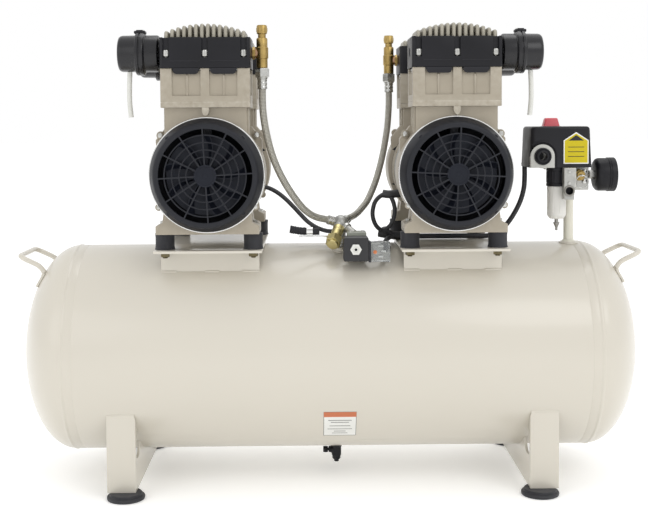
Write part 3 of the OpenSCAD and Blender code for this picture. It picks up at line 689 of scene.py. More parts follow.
def make_legs():
    legs = Piece("tank_legs", "tank_paint").add_cad(0.7, CREAM)
    top_z = TANK_Z - math.sqrt(TANK_R ** 2 - 145 ** 2)
    for way in (-1, 1):
        for y in (-143.5, 143.5):
            legs.add(weld([(way * 303, y, top_z - 1), (way * 345, y, top_z - 1)], 2.2), CREAM)
        arc = [math.radians(a) for a in range(-36, 37, 8)]
        bead = [(way * 304, TANK_R * math.sin(a), TANK_Z - TANK_R * math.cos(a)) for a in arc]
        legs.add(weld(bead, 2.6), CREAM)
    legs.done()
    pads = Piece("foot_pads", "black_rubber")
    pad = [(0, 0), (26.5, 0), (28.6, 0.8), (29, 2.2), (29, 4.4), (28, 5.7), (26, 6), (25.2, 6.6),
           (24.8, 9.2), (24, 10), (0, 10)]
    for sx, sy in CORNERS:
        place = at(sx * 318, sy * 140, 0)
        pads.add(lathe(pad, 72), RUBBER, place)
        stud = at(sx * 318, sy * 128, 0)
        pads.add(hexagon(6.6, 14.1, 17.4), ZINC, stud).add(disc(7.8, 13.9, 14.8, 0.3), ZINC, stud)
        pads.add(thread(4.2, 6, 19.5), ZINC, stud)
    pads.done()


def make_saddles():
    saddles = Piece("pump_saddles", "tank_paint").add_cad(0.5, CREAM)
    foot_z = TANK_Z + math.sqrt(TANK_R ** 2 - 97 ** 2)
    for way in (-1, 1):
        for sy in (-1, 1):
            for x0, x1 in ((-76, -52), (-8, 14), (50, 76)):
                bead = [(way * PUMP_X + x, sy * 97.5, foot_z - 0.5) for x in (x0, x1)]
                saddles.add(weld(bead, 1.8), CREAM)
    saddles.done()
    mounts = Piece("rubber_mounts", "black_rubber")
    barrel = [(4.2, 0), (15.5, 0), (15.5, 1.4), (15, 2.2), (14.6, 6), (14.6, 19), (15, 22.6), (15, 25),
              (4.2, 25)]
    bolts = Piece("mounting_bolts", "bright_steel")
    for way in (-1, 1):
        for sx, sy in CORNERS:
            x, y = way * PUMP_X + sx * MOUNT_X, sy * HEAD_Y
            mounts.add(ring(barrel, 64), RUBBER, at(x, y, SADDLE_Z))
            place = at(x, y, 0)
            bolts.add(disc(4, 369, FOOT_TOP + 1), ZINC, place).add(thread(4, 366, 369.5), OLIVE_STEEL, place)
            bolts.add(disc(8.4, FOOT_TOP, FOOT_TOP + 1.2, 0.3), ZINC, place)
            bolts.add(hexagon(7, FOOT_TOP + 1.2, FOOT_TOP + 6), ZINC, place @ turn("Z", 11 * sx * sy))
            bolts.add(disc(9, 374.5, 376, 0.3), OLIVE_STEEL, place)
            bolts.add(hexagon(7.5, 368, 374.5), OLIVE_STEEL, place @ turn("Z", 20 * sx))
    mounts.done()
    bolts.done()


def make_drain():
    valve = Piece("drain_valve", "black_plastic")
    valve.add(hexagon(9, 36, 42.2), BLACK, at(DRAIN_X, 0, 0))
    valve.add(disc(8, 22, 38, 1.0), BLACK, at(DRAIN_X, 0, 0))
    valve.add(disc(6.8, 16.5, 22.5, 0.8), BLACK, at(DRAIN_X, 0, 0))
    spout = [(2, 12), (3.6, 12), (4.2, 13), (3.7, 14), (4.5, 15), (4.5, 17), (2, 17)]
    valve.add(ring(spout, 32), BLACK, at(DRAIN_X, 0, 0))
    bonnet = [(2.6, 0), (6, 0), (6, 9), (5.2, 10), (5.2, 13), (2.6, 13)]
    valve.add(ring(bonnet, 32), BLACK, at(DRAIN_X, 0, DRAIN_Z) @ ALONG_BACK_X)
    valve.done()
    knob = Piece("drain_knob", "black_plastic", "drain_knob")
    place = at(DRAIN_X, 0, DRAIN_Z)
    knob.add(disc(2.5, -4, 15, 0.3), BLACK, place @ ALONG_BACK_X)
    knob.add(disc(5, 14, 22, 1.0), BLACK, place @ ALONG_BACK_X)
    knob.add(block((-21, -11, -2.5), (-15, 11, 2.5), 1.8), BLACK, place)
    knob.done()


# ---- pumps, each in its own axes

def crank(end):
    """The crank axis, with +Z pointing out of one end of the pump."""
    return end @ front(0, 0, CRANK_Z)


def make_castings(side, place):
    cast = Piece(side + "_crankcases", "cast_paint", place=place).add_cad(0.8, CAST)
    lip = [(85.6, 0), (88.1, 0), (88.1, 1.2), (87.6, 1.7), (86.4, 1.7), (85.6, 1.2)]
    drop = [(0, -13), (3.2, -10.6), (5.2, -6.4), (5.2, 2), (-5.2, 2), (-5.2, -6.4), (-3.2, -10.6)]
    for end in ENDS:
        cast.add(ring(lip, 160), POLISHED, end @ front(0, -139, CRANK_Z))
        cast.add(prism(drop, 0, 8, 1.2, 3), CAST, end @ front(0, -141.6, FLANGE_Z))
        for sx in (-1, 1):
            for y in (-131, -117, -103, -89):
                cast.add(block((sx * 62 - 2, y - 1.6, 556), (sx * 62 + 2, y + 1.6, 597.5), 0.8), CAST, end)
            cast.add(block((sx * 56 - 2.5, -139, 418), (sx * 56 + 2.5, -81, 436), 1.0), CAST, end)
            upper, lower = end @ front(sx * 74, -97, 555), end @ front(sx * 73, -138, 447)
            cast.add(disc(6.5, 0, 3, 0.8), CAST, upper).add(disc(4.3, 3, 6.2, 1.0), ZINC, upper)
            cast.add(disc(5.5, 0, 2.4, 0.7), CAST, lower).add(disc(3.4, 2.4, 4.4, 0.6), ZINC, lower)
        for k in range(6):
            fin = ring([(79.4, 0), (82, 0.5), (82, 2.0), (79.4, 2.5)], 96)
            cast.add(fin, CAST, end @ at(0, -76 + 5.4 * k, CRANK_Z) @ ALONG_Y)
    # Painted shade: faces deep inside the crankcase, within the fan mouths, get the dark fan navy in place of
    # the shade that falls there.
    cast.repaint(NAVY_AND_PAINTED_SHADE, lambda c: abs(c.y) > 70 and math.hypot(c.x, c.z - CRANK_Z) < 82.9)
    cast.done()

    bank = Piece(side + "_cylinders", "cast_paint", place=place).add_cad(0.9, CAST)
    for end in ENDS:
        bank.add(hoop(30.02, 31.6, 606, 651.5, 72), POLISHED, end @ at(0, -HEAD_Y, 0))
        bank.add(block((-66, -149.9, 603.6), (66, -147, 606.4), 0.02, 1), CAST, end)
    bank.done()


def fin_bar(depth, low, top, half, corner, middle):
    """A cast cooling fin lying in XY, with half-round edges all the way round."""
    levels = []
    for k in range(9):
        a = math.pi * (k / 8 - 0.5)
        inset = 0.96 * half * (1 - math.cos(a))
        size = (depth - 2 * inset, top - low - 2 * inset, corner - inset)
        levels.append((round_rect(*size, middle, (low + top) / 2, 8), half * math.sin(a)))
    return loft(levels)


def tab_outline(x0, x1, low, top, r):
    """A hanging tab with round lower corners, anticlockwise."""
    turns = [math.radians(15 * k) for k in range(7)]
    left = [(x0 + r - r * math.cos(a), low + r - r * math.sin(a)) for a in turns]
    right = [(x1 - r + r * math.sin(a), low + r - r * math.cos(a)) for a in turns]
    return left + right + [(x1, top), (x0, top)]


def make_heads(side, place):
    head = Piece(side + "_cylinder_heads", "fin_metal", place=place)
    collar = [(8, 0), (10, 0), (10, 5), (9, 6), (8, 6)]
    for end in ENDS:
        head.add(block((-64, -142, 652.2), (64, -78, 656), 0.5), ZINC, end)
        head.add(block((-60, -145, 656), (60, -75, 700), 2.0), FIN, end)
        for k in range(FIN_COUNT):
            x = (k - (FIN_COUNT - 1) / 2) * FIN_PITCH
            fin = fin_bar(74, SHROUD_TOP - 6, FIN_TOP - 11 * (x / 58) ** 2, 2.9, 7, -HEAD_Y)
            head.add(fin, FIN, end @ at(x, 0, 0) @ LENGTHWISE)
        for x in SCREW_XS:
            bolt = end @ at(x, -148.5, 0)
            head.add(disc(2.2, 660, 674, 0.4, 20), DARK_STEEL, end @ at(x, -147.5, 0))
            head.add(disc(4.3, 673.5, 683, 0.8, 32), ZINC, bolt)
            for k in range(16):
                rib = block((4.0, -0.35, 674.5), (4.5, 0.35, 682), 0.15, 1)
                head.add(rib, ZINC, bolt @ turn("Z", 22.5 * k))
        head.add(hexagon(11, 0, 9), ZINC, end @ at(30, -66.5, PORT_Z) @ ALONG_Y)
        head.add(ring(collar, 40), ZINC, end @ at(30, -57.5, PORT_Z) @ ALONG_Y)
    head.add(disc(8, -75, 75, 0.5), POLISHED, at(30, 0, PORT_Z) @ ALONG_Y)
    head.done()


def make_shrouds(side, place):
    shroud = Piece(side + "_head_shrouds", "black_plastic", place=place).add_cad(0.6, BLACK)
    square_tabs = [v for v in shroud.bm.verts if v.co.z < HEAD_Z + 0.01 and not 69.9 < abs(v.co.y) < 150.1]
    bmesh.ops.delete(shroud.bm, geom=square_tabs, context="VERTS")
    for end in ENDS:
        for x in (-48, 8):
            for y in (68, 150.2):
                tab = prism(tab_outline(x, x + 39, HEAD_Z - 9, HEAD_Z, 6), y, y + 1.8, 0.5)
                shroud.add(tab, BLACK, end @ ALONG_FRONT)
        for x in (-51, 7):
            shroud.add(block((x, -152.5, 666), (x + 44, -151.5, 667.4), 0.35), BLACK, end)
        for x in SCREW_XS:
            shroud.add(block((x - 6, -146.9, 668), (x + 6, -145.2, SHROUD_TOP - 0.4), 0.3), BLACK, end)
    shroud.done()


def make_filters(side, place):
    filters = Piece(side + "_intake_filters", "black_plastic", place=place)
    can = [(0, 72), (24, 72), (26, 72.6), (27.6, 74), (28, 76), (28, 92.6), (29.2, 93.2), (30, 94.2),
           (32.4, 94.8), (33, 96), (33, 99.8), (31.6, 100.4), (31.6, 101.6), (33, 102.2), (33, 105.6),
           (32, 107), (28.6, 107.6), (28, 109), (27.6, 128), (26.8, 131), (25, 133.2), (22.4, 134), (19, 134),
           (18.2, 133.2), (12, 132.6), (11.4, 133.4), (0, 133.6)]
    clip = rounded_path([(-96, -7, 31), (-96, -7, 35.4), (-96, 7, 35.4), (-96, 7, 31)], 2)
    for end in ENDS:
        spot = end @ at(0, -HEAD_Y, PORT_Z)
        lying = spot @ ALONG_BACK_X
        filters.add(disc(12, 58, 73, 0.8), BLACK, lying).add(lathe(can, 96), GLOSS_BLACK, lying)
        filters.add(ring([(12, 66), (14.4, 66.5), (14.4, 70.5), (12, 71)], 48), ZINC, lying)
        filters.add(block((-110, -9, 30), (-93, 9, 34.5), 1.6), BLACK, spot)
        filters.add(block((-107, -6.5, 33.5), (-95.5, 6.5, 36), 1.0), BLACK, spot)
        filters.add(pipe(clip, 0.8, 8), ZINC, spot)
    filters.done()


def make_fan_cover(side, place):
    cover = Piece(side + "_fan_covers", "black_plastic", place=place)
    bezel = [(80, 140), (85.6, 140), (86, 140.5), (86, 144.6), (85.4, 147), (84.2, 150.5), (82.6, 155),
             (80.8, 160), (79, 164.4), (77.4, 167), (75.6, 168), (71.6, 168), (70.4, 167.4), (70, 166.4),
             (70, 163.4), (71, 160), (76, 150), (80, 144)]
    boss = [(0, 164), (HUB_R, 164), (HUB_R, 166.6), (HUB_R - 0.7, 167.4), (14, 167.6), (13.4, 167), (4, 167),
            (3.4, 167.5), (0, 167.6)]
    for end in ENDS:
        spot = crank(end)
        cover.add(ring(bezel, 160), BLACK_SATIN, spot).add(lathe(boss, 72), NAVY_AND_PAINTED_SHADE, spot)
        for r in (28.5, 39, 50, 61):
            bar = [(r - 1, 165.4), (r + 1, 165.4), (r + 1, 167.2), (r + 0.5, 167.8), (r - 0.5, 167.8),
                   (r - 1, 167.2)]
            cover.add(ring(bar, 120), BLACK_SATIN, spot)
        for k in range(12):
            spoke = block((HUB_R - 1, -1.1, 165), (MOUTH_R + 1.4, 1.1, 167.9), 0.7, 2)
            cover.add(spoke, BLACK_SATIN, spot @ turn("Z", 30 * k + 3))
        for k in range(4):
            screw = spot @ turn("Z", 45 + 90 * k) @ at(78, 0, 0)
            socket = ring([(2.2, 155), (4.2, 155), (4.2, 161.4), (3.8, 162), (2.2, 162)], 24)
            cover.add(socket, BLACK_SATIN, screw).add(disc(2.4, 156, 160.5, 0.4), DARK_STEEL, screw)
    cover.done()


def curved_blade():
    """One fan blade: a thin sheet swept back as it goes outwards and pitched from front to back."""
    bm = bmesh.new()
    across, along = 10, 5
    loop = [(j, -0.8) for j in range(along + 1)] + [(j, 0.8) for j in range(along, -1, -1)]
    rings = []
    for i in range(across + 1):
        r = 13.5 + 47.5 * i / across
        rings.append([])
        for j, thick in loop:
            sweep = math.radians(14 * (i / across) ** 2 - 10 * (j / along))
            x = r * math.cos(sweep) - thick * math.sin(sweep)
            y = r * math.sin(sweep) + thick * math.cos(sweep)
            rings[-1].append(bm.verts.new((x, y, 146.8 + 12.4 * j / along)))
    skin(bm, rings)
    bmesh.ops.recalc_face_normals(bm, faces=bm.faces)
    return bm


def make_rotor(side, place):
    body = side + "_rotor"
    fans = Piece(side + "_cooling_fans", "black_plastic", body, place=place)
    rotor = Piece(side + "_rotor_shaft", "bright_steel", body, place=place)
    hub = [(7.6, 146), (15, 146), (15, 158), (14.2, 160.4), (12, 161), (7.6, 161)]
    plate = [(12, 146), (60, 146), (60.4, 147), (60, 148), (12, 148)]
    for end, way in zip(ENDS, (-1, 1)):
        spot, throw = crank(end), -8 * way
        fans.add(ring(hub, 48), NAVY_AND_PAINTED_SHADE, spot).add(ring(plate, 96), NAVY_AND_PAINTED_SHADE, spot)
        for k in range(9):
            fans.add(curved_blade(), NAVY_AND_PAINTED_SHADE, spot @ turn("Z", 40 * k))
        rotor.add(disc(13, -6, 6, 0.8), POLISHED, at(throw, way * HEAD_Y, CRANK_Z) @ ALONG_Y)
        cut = block((throw * 2.25 - 12, -30, -4), (throw * 2.25 + 12, 30, 4), 0.1)
        weight = carve(disc(26, -3, 3, 0.8, 64), cut)
        rotor.add(weight, DARK_STEEL, front(0, way * (HEAD_Y + 14), CRANK_Z))
    axle = at(0, 0, CRANK_Z) @ ALONG_Y
    shaft = both_ways([(0, -158), (6.2, -158), (7.2, -157), (7.5, -156)])
    core = both_ways([(7.4, -45), (40, -45), (41, -44), (44.3, -43)])
    rotor.add(lathe(shaft, 48), POLISHED, axle).add(ring(core, 96), LAMINATED, axle)
    fans.done()
    rotor.done()


def make_stator(side, place):
    stator = Piece(side + "_motor_stator", "winding", place=place)
    core = both_ways([(45.2, -45), (79, -45), (80, -44)])
    stator.add(ring(core, 128), LAMINATED, at(0, 0, CRANK_Z) @ ALONG_Y)
    turns = [math.radians(30 * k) for k in range(12)]
    bundle = [(57 + 8.8 * math.cos(a), 54 + 8.6 * math.sin(a)) for a in turns]
    for end in ENDS:
        stator.add(ring(bundle, 96), COPPER, crank(end))
        for k in range(18):
            lace = crank(end) @ turn("Z", 20 * k) @ at(57, 0, 54) @ turn("X", 90)
            stator.add(torus(9, 0.7, 24, 6), WHITE, lace)
    for k in range(4):
        bar = at(0, 0, CRANK_Z) @ turn("Y", 45 + 90 * k) @ at(80.6, 0, 0) @ ALONG_Y
        stator.add(disc(2.6, -44.4, 44.4, 0.4, 16), ZINC, bar)
    stator.done()


def make_pistons(side, place):
    labels = ("front", "rear") if side == "left" else ("rear", "front")
    crown = [(0, 630), (20, 630), (21, 632), (29.4, 632.4), (29.8, 633), (29.8, 635.4), (28, 635.8),
             (28, 637.6), (29.8, 638), (29.8, 641.4), (29.2, 642), (0, 642)]
    eye = both_ways([(27, -5), (28, -6), (32, -6), (33, -5)])
    for way, label in zip((-1, 1), labels):
        name = f"{side}_{label}_piston"
        piston = Piece(name, "bright_steel", name, place=place @ at(0, way * HEAD_Y, 0))
        piston.add(lathe(crown, 96), DIE_CAST).add(disc(4.5, 641, 642.8, 0.8), ZINC)
        piston.add(ring([(28, 635.8), (29.9, 636), (29.9, 637.4), (28, 637.6)], 96), WHITE)
        piston.add(block((-7, -5, CRANK_Z + 29), (7, 5, 631), 2.0), FORGED)
        piston.add(block((-4, -6, CRANK_Z + 31), (4, 6, 630), 1.5), FORGED)
        piston.add(ring(eye, 72), FORGED, at(0, 0, CRANK_Z) @ ALONG_Y)
        piston.done()


def make_bearings():
    bearings = Piece("shaft_bearings", "bright_steel")
    outer = [(13.6, 72), (17, 72), (17.5, 72.5), (17.5, 79.5), (17, 80), (13.6, 80)]
    for spot in [place @ crank(end) for place in SIDES.values() for end in ENDS]:
        bearings.add(ring(outer, 64), POLISHED, spot).add(hoop(7.55, 10.6, 72, 80), POLISHED, spot)
        bearings.add(hoop(10.6, 13.6, 72.8, 79.2), BLACK, spot)
    bearings.done()


# ---- air lines

def make_air_lines():
    tees = Piece("outlet_tees", "brass")
    fittings = Piece("hose_fittings", "bright_steel")
    post = [(0, 657), (7.6, 657), (8.5, 658), (8.5, 671), (9.6, 672.4), (9.6, 688), (8.5, 689.4), (8.5, 701),
            (7.6, 703), (6, 703.4), (6, 709), (7.4, 709.2), (8, 710), (8, 721), (7, 722.6), (0, 723)]
    for place in SIDES.values():
        spot = place @ at(TEE_X, -HEAD_Y, 0)
        tees.add(lathe(post, 48), BRASS, spot)
        tees.add(hexagon(8.6, 712, 719), BRASS, spot)
        side_pipe = place @ at(60, -HEAD_Y, PORT_Z) @ ALONG_X
        tees.add(disc(7, 0, TEE_X - 60, 0.4), COPPER_PIPE, side_pipe)
        tees.add(hexagon(9.6, 8.6, 14), BRASS, side_pipe)
        fittings.add(hexagon(11, 643, 657), ZINC, spot @ turn("Z", 17))
        fittings.add(disc(8.6, 641, 644, 0.6), ZINC, spot)
        crimp = [(0, 625), (7, 625), (7.5, 625.6), (7.5, 629), (7, 629.8), (7, 631), (7.5, 631.8), (7.5, 635),
                 (7, 635.8), (7, 637), (7.5, 637.8), (7.5, 642), (7, 643), (0, 643)]
        fittings.add(lathe(crimp, 48), ZINC, spot)
    tees.done()
    for route_points in (LEFT_HOSE, RIGHT_HOSE):
        start = Vector(route_points[-1])
        reach = (CROSS - start).length - 10
        steps = ((7.5, 0.3), (6.9, 0.36), (6.9, 0.44), (7.5, 0.5), (7.5, 0.84), (6.9, 0.9), (6.9, 1), (0, 1))
        sleeve = [(0, -1), (6.9, -1), (7.5, -0.3)] + [(r, reach * share) for r, share in steps]
        fittings.add(lathe(sleeve, 40), ZINC, aim(start, CROSS))
    fittings.done()

    cross = Piece("inlet_cross", "cast_metal")
    turns = [math.radians(15 * k) for k in range(1, 12)]
    globe = [(0, -13)] + [(13 * math.sin(a), -13 * math.cos(a)) for a in turns] + [(0, 13)]
    cross.add(lathe(globe, 48), DIE_CAST, Matrix.Translation(CROSS))
    stem = at(CROSS.x, CROSS.y, 0)
    cross.add(disc(8, 372, 400, 0.6), DIE_CAST, stem).add(hexagon(11, 379, 389), ZINC, stem)
    cross.add(disc(9.4, 389, 392, 0.6), ZINC, stem).add(thread(8, 368, 380, 1.6), BRASS, stem)
    cross.add(disc(6, 0, 34, 0.5), DIE_CAST, aim(CROSS, COIL_TO))
    cross.add(disc(8, 12, 18, 0.8), ZINC, aim(CROSS, COIL_TO))
    cross.add(disc(9.6, 9, 13, 0.8), DIE_CAST, aim(CROSS, CHECK_TO))
    cross.add(block((-52, -30, 388), (12, -16, 390.5), 0.6), POLISHED)
    cross.done()

    check = Piece("inlet_check_valve", "brass")
    barrel = [(0, 10), (8.4, 10), (9, 10.8), (9, 20), (8.2, 21), (8.2, 23), (9, 24), (9, 36), (10, 37.2),
              (0, 37.2)]
    cap = [(0, 50), (9.5, 50), (9.5, 53.4), (8.6, 54.6), (6, 55), (0, 55)]
    way = aim(CROSS, CHECK_TO)
    check.add(lathe(barrel, 48), PALE_BRASS, way).add(hexagon(13, 37, 51), PALE_BRASS, way @ turn("Z", 12))
    check.add(lathe(cap, 48), PALE_BRASS, way)
    check.done()


def make_solenoid():
    valve = Piece("solenoid_valve", "cast_metal")
    valve.add(block((25, -84, 372), (55, -52, 401), 1.4), STONE_GREY)
    for x, y in ((30, -58), (50, -58), (30, -78), (50, -78)):
        valve.add(disc(2.2, 400.6, 401.8, 0.4, 20), ZINC, at(x, y, 0))
    tube = front(37, 0, 378)
    valve.add(disc(5, 84, 118, 0.5), ZINC, tube)
    nut = [(2.4, 116), (8.4, 116), (9, 117), (9, 121), (8.4, 122), (5, 122), (4.4, 121.2), (2.4, 121.2)]
    valve.add(ring(nut, 6), WHITE, tube).add(disc(2.6, 117, 119.6, 0.2, 24), BLACK, tube)
    valve.done(24)
    coil = Piece("solenoid_coil", "black_plastic")
    bore = disc(5.2, 80, 120, 0, 48)
    bore.transform(at(37, 378, 0))
    body = carve(pillow(39, 37, 3, 84, 116, 2.2, 37.5, 377.5), bore)
    coil.add(body, COIL_BLACK, ALONG_FRONT)
    for x in (20.5, 54.5):
        coil.add(block((x - 1.4, -112, 376), (x + 1.4, -88, 378), 0.5), BLACK)
    coil.done()
    plug = Piece("solenoid_connector", "clear_plastic")
    plug.add(block((57, -112, 357), (60.5, -88, 389), 0.8), RUBBER)
    plug.add(block((60, -111.6, 357.6), (90.6, -88.4, 388.6), 2.2), CLEAR_CASE)
    plug.add(block((63, -105, 361), (80, -92, 384), 1.0), DARK_STEEL)
    plug.add(disc(3.2, 108.4, 112, 1.0, 32), ORANGE, front(67, 0, 373))
    for x, z in ((76, 366), (80, 374), (76, 382)):
        plug.add(block((x - 4, -108.4, z - 1.6), (x + 4, -106.6, z + 1.6), 0.5), ZINC)
    plug.add(disc(7, 80, 88.6, 0.8), BLACK, front(82, 0, 378))
    plug.add(hexagon(8.4, 81, 85), BLACK, front(82, 0, 378))
    plug.done()


def make_loom():
    """Black sleeve and steel clamp lying on the strap at the cross."""
    loom = Piece(None, "black_plastic", name="loom_sleeve")
    route = ((-66, 401), (-60, 400), (-48, 398), (-32, 397.5), (-18, 397.5))
    path = smooth_path([(x, -23, z) for x, z in route])
    loom.add(pipe(path, 6, 24), RUBBER)
    for spot in path[2:19:2]:
        loom.add(torus(5.9, 0.9, 32, 8), RUBBER, Matrix.Translation(spot) @ ALONG_X)
    loom.add(hoop(6.2, 7.2, -5, 5, 40), POLISHED, at(-34, -23, 397.6) @ ALONG_X)
    loom.add(block((-39, -31, 391), (-29, -27, 393.2), 0.5), POLISHED)
    loom.done()

    sleeves = Piece(None, "black_plastic", name="loop_sleeves")
    for points, r in (([(90, -12, 402), (91, -11, 396), (96, -9, 391), (104, -7, 388)], 6.4),
                      ([(80, -3, 392), (92, -7, 390), (104, -6, 388), (118, 0, 387), (132, 6, 386)], 6.8),
                      ([(86, -11, 457), (96, -13, 456), (108, -12, 457), (121, -10, 458)], 6.6)):
        sleeves.add(pipe(smooth_path(points), r, 24), JACKET)
    sleeves.done()


# ---- controls

def make_riser():
    riser = Piece("riser_pipe", "tank_paint")
    spot = at(*BUNGS[0][:2], 0)
    # The pipe has the tank's paint; its lighter cream is painted light.
    riser.add(hoop(5.5, 8, 371, 462), CREAM_PAINTED_LIGHT, spot)
    riser.add(ring([(8, 375), (11.4, 375), (11.2, 377), (9.4, 379.6), (8, 380.4)], 48), CREAM_PAINTED_LIGHT, spot)
    riser.add(ring([(8, 452), (10, 452.6), (10, 461.4), (8, 462)], 6), ZINC, spot)
    riser.done()


def make_manifold():
    manifold = Piece("control_manifold", "cast_metal").add_cad(1.0, DIE_CAST)
    port = front(SPARE_X, 0, SPARE_Z)
    rim = [(6.05, 83), (8.6, 83), (8.6, 85.4), (8, 86), (6.8, 86), (6.05, 85.4)]
    manifold.add(ring(rim, 40), DARK_STEEL, port)
    # Painted shade: the spare port's bore is made black to stand in for the shade inside it.
    manifold.repaint(BLACK, lambda c: math.hypot(c.x - SPARE_X, c.z - SPARE_Z) < 6.04 and c.y < -40)
    for z in (476, 492):
        manifold.add(hexagon(4, 29.6, 33), ZINC, front(411, 0, z))
    for z in (476, 494):
        manifold.add(disc(2.6, 83.6, 86, 0.6, 24), ZINC, front(SPARE_X, 0, z))
    manifold.add(hexagon(6, 9.4, 13), ZINC, at(401, 0, 474) @ ALONG_Y)
    manifold.done()


def make_switch():
    base = Piece("switch_base", "grey_plastic").add_cad(0.7, GREY)
    bush = [(6.05, 74), (13.6, 74), (13.6, 76.6), (12.6, 77.4), (11.6, 77), (11, 76.4), (10.4, 76.8),
            (9.6, 77.8), (8.6, 78.2), (7.4, 78), (6.05, 77)]
    # Painted shade: the cable entry's bore in the grey base is made black to stand in for the shade inside it.
    base.repaint(BLACK, lambda c: math.hypot(c.x - ENTRY_X, c.z - ENTRY_Z) < 6.04)
    base.add(ring(bush, 64), BLACK, front(ENTRY_X, 0, ENTRY_Z))
    for x in (342, 387):
        base.add(disc(3.2, -3, 0.6, 0.5, 24), ZINC, at(x, -58, 500))
    base.done()

    cover = Piece("switch_cover", "black_plastic")
    outer = tapered(pillow(99, 80, 8, 500, 565, 5, *SWITCH), 500, 565, 0.945, *SWITCH)
    inner = tapered(prism(round_rect(92.5, 73.5, 5, *SWITCH), 498, 562.5, 0), 500, 565, 0.945, *SWITCH)
    mouth = block((314, -80, 498), (354, -66, 519), 0.2)
    arch = disc(20, 62, 82, 0, 64)
    arch.transform(front(ENTRY_X, 0, ENTRY_Z))
    bore = disc(4.4, 490, 580, 0, 48)
    bore.transform(at(*KNOB, 0))
    cover.add(carve(outer, inner, mouth, arch, bore), BLACK)
    cover.add(ring([(4.6, 565), (17, 565), (16.4, 565.4), (4.6, 565.4)], 48), BLACK, at(*KNOB, 0))
    for x in (315.1, 413.9):
        cover.add(block((x - 0.5, -62, 503), (x + 0.5, 2, 505), 0.4), BLACK)
    turns = [math.radians(a) for a in range(0, 131, 10)]
    hood = [(ENTRY_X + HOOD_R, 0, 501)]
    hood += [(ENTRY_X + HOOD_R * math.cos(a), 0, ENTRY_Z + HOOD_R * math.sin(a)) for a in turns]
    cover.add(pipe(hood, 1.3, 12), BLACK, at(0, -69.6, 0))
    cover.done()

    def house(inset):
        x0, x1, z0, z1, peak = 368 + inset, 407.5 - inset, 506 + inset, 543 - 0.4 * inset, 556 - 1.4 * inset
        return [(x0, z0), (x1, z0), (x1, z1), ((x0 + x1) / 2, peak), (x0, z1)]

    label = Piece(None, "white_plastic", name="switch_label")
    label.add(prism(house(0), 70.0, 70.35, 0.1, 1), WHITE, ALONG_FRONT)
    label.add(prism(house(1.6), 70.3, 70.5, 0.06, 1), YELLOW, ALONG_FRONT)
    peak = [(375.5, 542.6), (400, 542.6), (387.75, 551.4)]
    label.add(prism(peak, 70.45, 70.62, 0.05, 1), BLACK, ALONG_FRONT)
    for z in (517.6, 525, 532.4):
        label.add(block((375, -70.62, z - 0.5), (400.5, -70.45, z + 0.5), 0.04, 1), BLACK)
    label.done()

    knob = Piece("switch_knob", "red_plastic", "switch_knob")
    knob.add(tapered(pillow(26, 20, 3, 565.5, 578.5, 2.2, *KNOB), 567, 578.5, 0.74, *KNOB), RED)
    knob.add(disc(4, 545.5, 566, 0.4), RED, at(*KNOB, 0))
    knob.done()


def make_gauge():
    gauge = Piece("gauge_body", "black_plastic")
    centre = at(0, GAUGE_Y, GAUGE_Z)
    spot = centre @ ALONG_X
    case = [(0, 426), (18, 426), (22.5, 427), (25.4, 429.4), (26.6, 433), (26.6, 446.4), (27.5, 447.2),
            (27.5, 448.4), (26.9, 449), (26.9, 450), (27.5, 450.6), (27.5, 458.2), (26.8, 459), (25.6, 459),
            (25, 458.4), (25, 450), (1.1, 450), (1.1, 444), (0, 444)]
    gauge.add(lathe(case, 96), BLACK, spot)
    gauge.add(hexagon(7, 418, 427), ZINC, spot)
    gauge.add(hoop(1.4, 24.6, 449.9, 450.3, 96), WHITE, spot)
    gauge.add(hoop(0.01, 25.1, 456.4, 457.6, 96), GLASS, spot)
    for k in range(28):
        inner = 20 if k % 3 else 18
        tick = block((inner, -0.35, 450.2), (22.6, 0.35, 450.5), 0.05, 1)
        gauge.add(tick, BLACK, spot @ turn("Z", 45 + 10 * k))
    gauge.done()
    needle = Piece("gauge_needle", "red_plastic", "gauge_needle")
    needle.add(disc(1, 445, 453, 0.1, 24), ZINC, spot).add(disc(3, 451.5, 453, 0.4, 32), RED, spot)
    outline = [(-1, 0), (-0.35, -19.6), (0.35, -19.6), (1, 0), (1, 5), (-1, 5)]
    pointer = prism(outline, 451.6, 452.4, 0.1, 1)
    needle.add(pointer, RED, centre @ turn("X", 45) @ LENGTHWISE)
    needle.done()


def make_filter():
    spot = at(*FILTER, 0)
    head = Piece("filter_head", "black_plastic")
    cap = [(0, 489), (10, 489), (10, 470), (15.8, 470), (16.5, 470.8), (16.5, 474), (15.6, 475),
           (15.6, 494), (16.5, 495), (16.5, 499), (15.8, 500), (0, 500)]
    head.add(lathe(cap, 64), BLACK, spot)
    for k in range(20):
        head.add(block((15, -0.9, 475.4), (16.3, 0.9, 493.6), 0.4, 1), BLACK, spot @ turn("Z", 18 * k))
    head.done()
    bowl = Piece("filter_bowl", "clear_plastic")
    wall = [(3.06, 418), (10.4, 418), (11.4, 418.6), (14.6, 423), (15, 425), (15, 468.6), (14.4, 470),
            (12.5, 470), (12.5, 424.6), (12, 424), (3.06, 424)]
    bowl.add(ring(wall, 64), SMOKE, spot)
    for k in range(8):
        bowl.add(block((14.6, -0.8, 428), (15.5, 0.8, 462), 0.35, 1), SMOKE, spot @ turn("Z", 45 * k + 10))
    bowl.add(disc(8, 447, 466, 1.0), WHITE, spot).add(disc(2.6, 440, 488, 0.3), BRASS, spot)
    bowl.done()
    drain = Piece("bowl_drain", "bright_steel", "bowl_drain")
    nipple = [(0, 399), (1.5, 399), (1.9, 399.6), (1.9, 403.6), (2.5, 405), (4.7, 410), (5, 411),
              (5, 411.6), (4.6, 412), (3, 412.2), (3, 424.3), (5, 424.4), (5, 426), (0, 426.3)]
    drain.add(lathe(nipple, 40), DARK_STEEL, spot)
    drain.done()


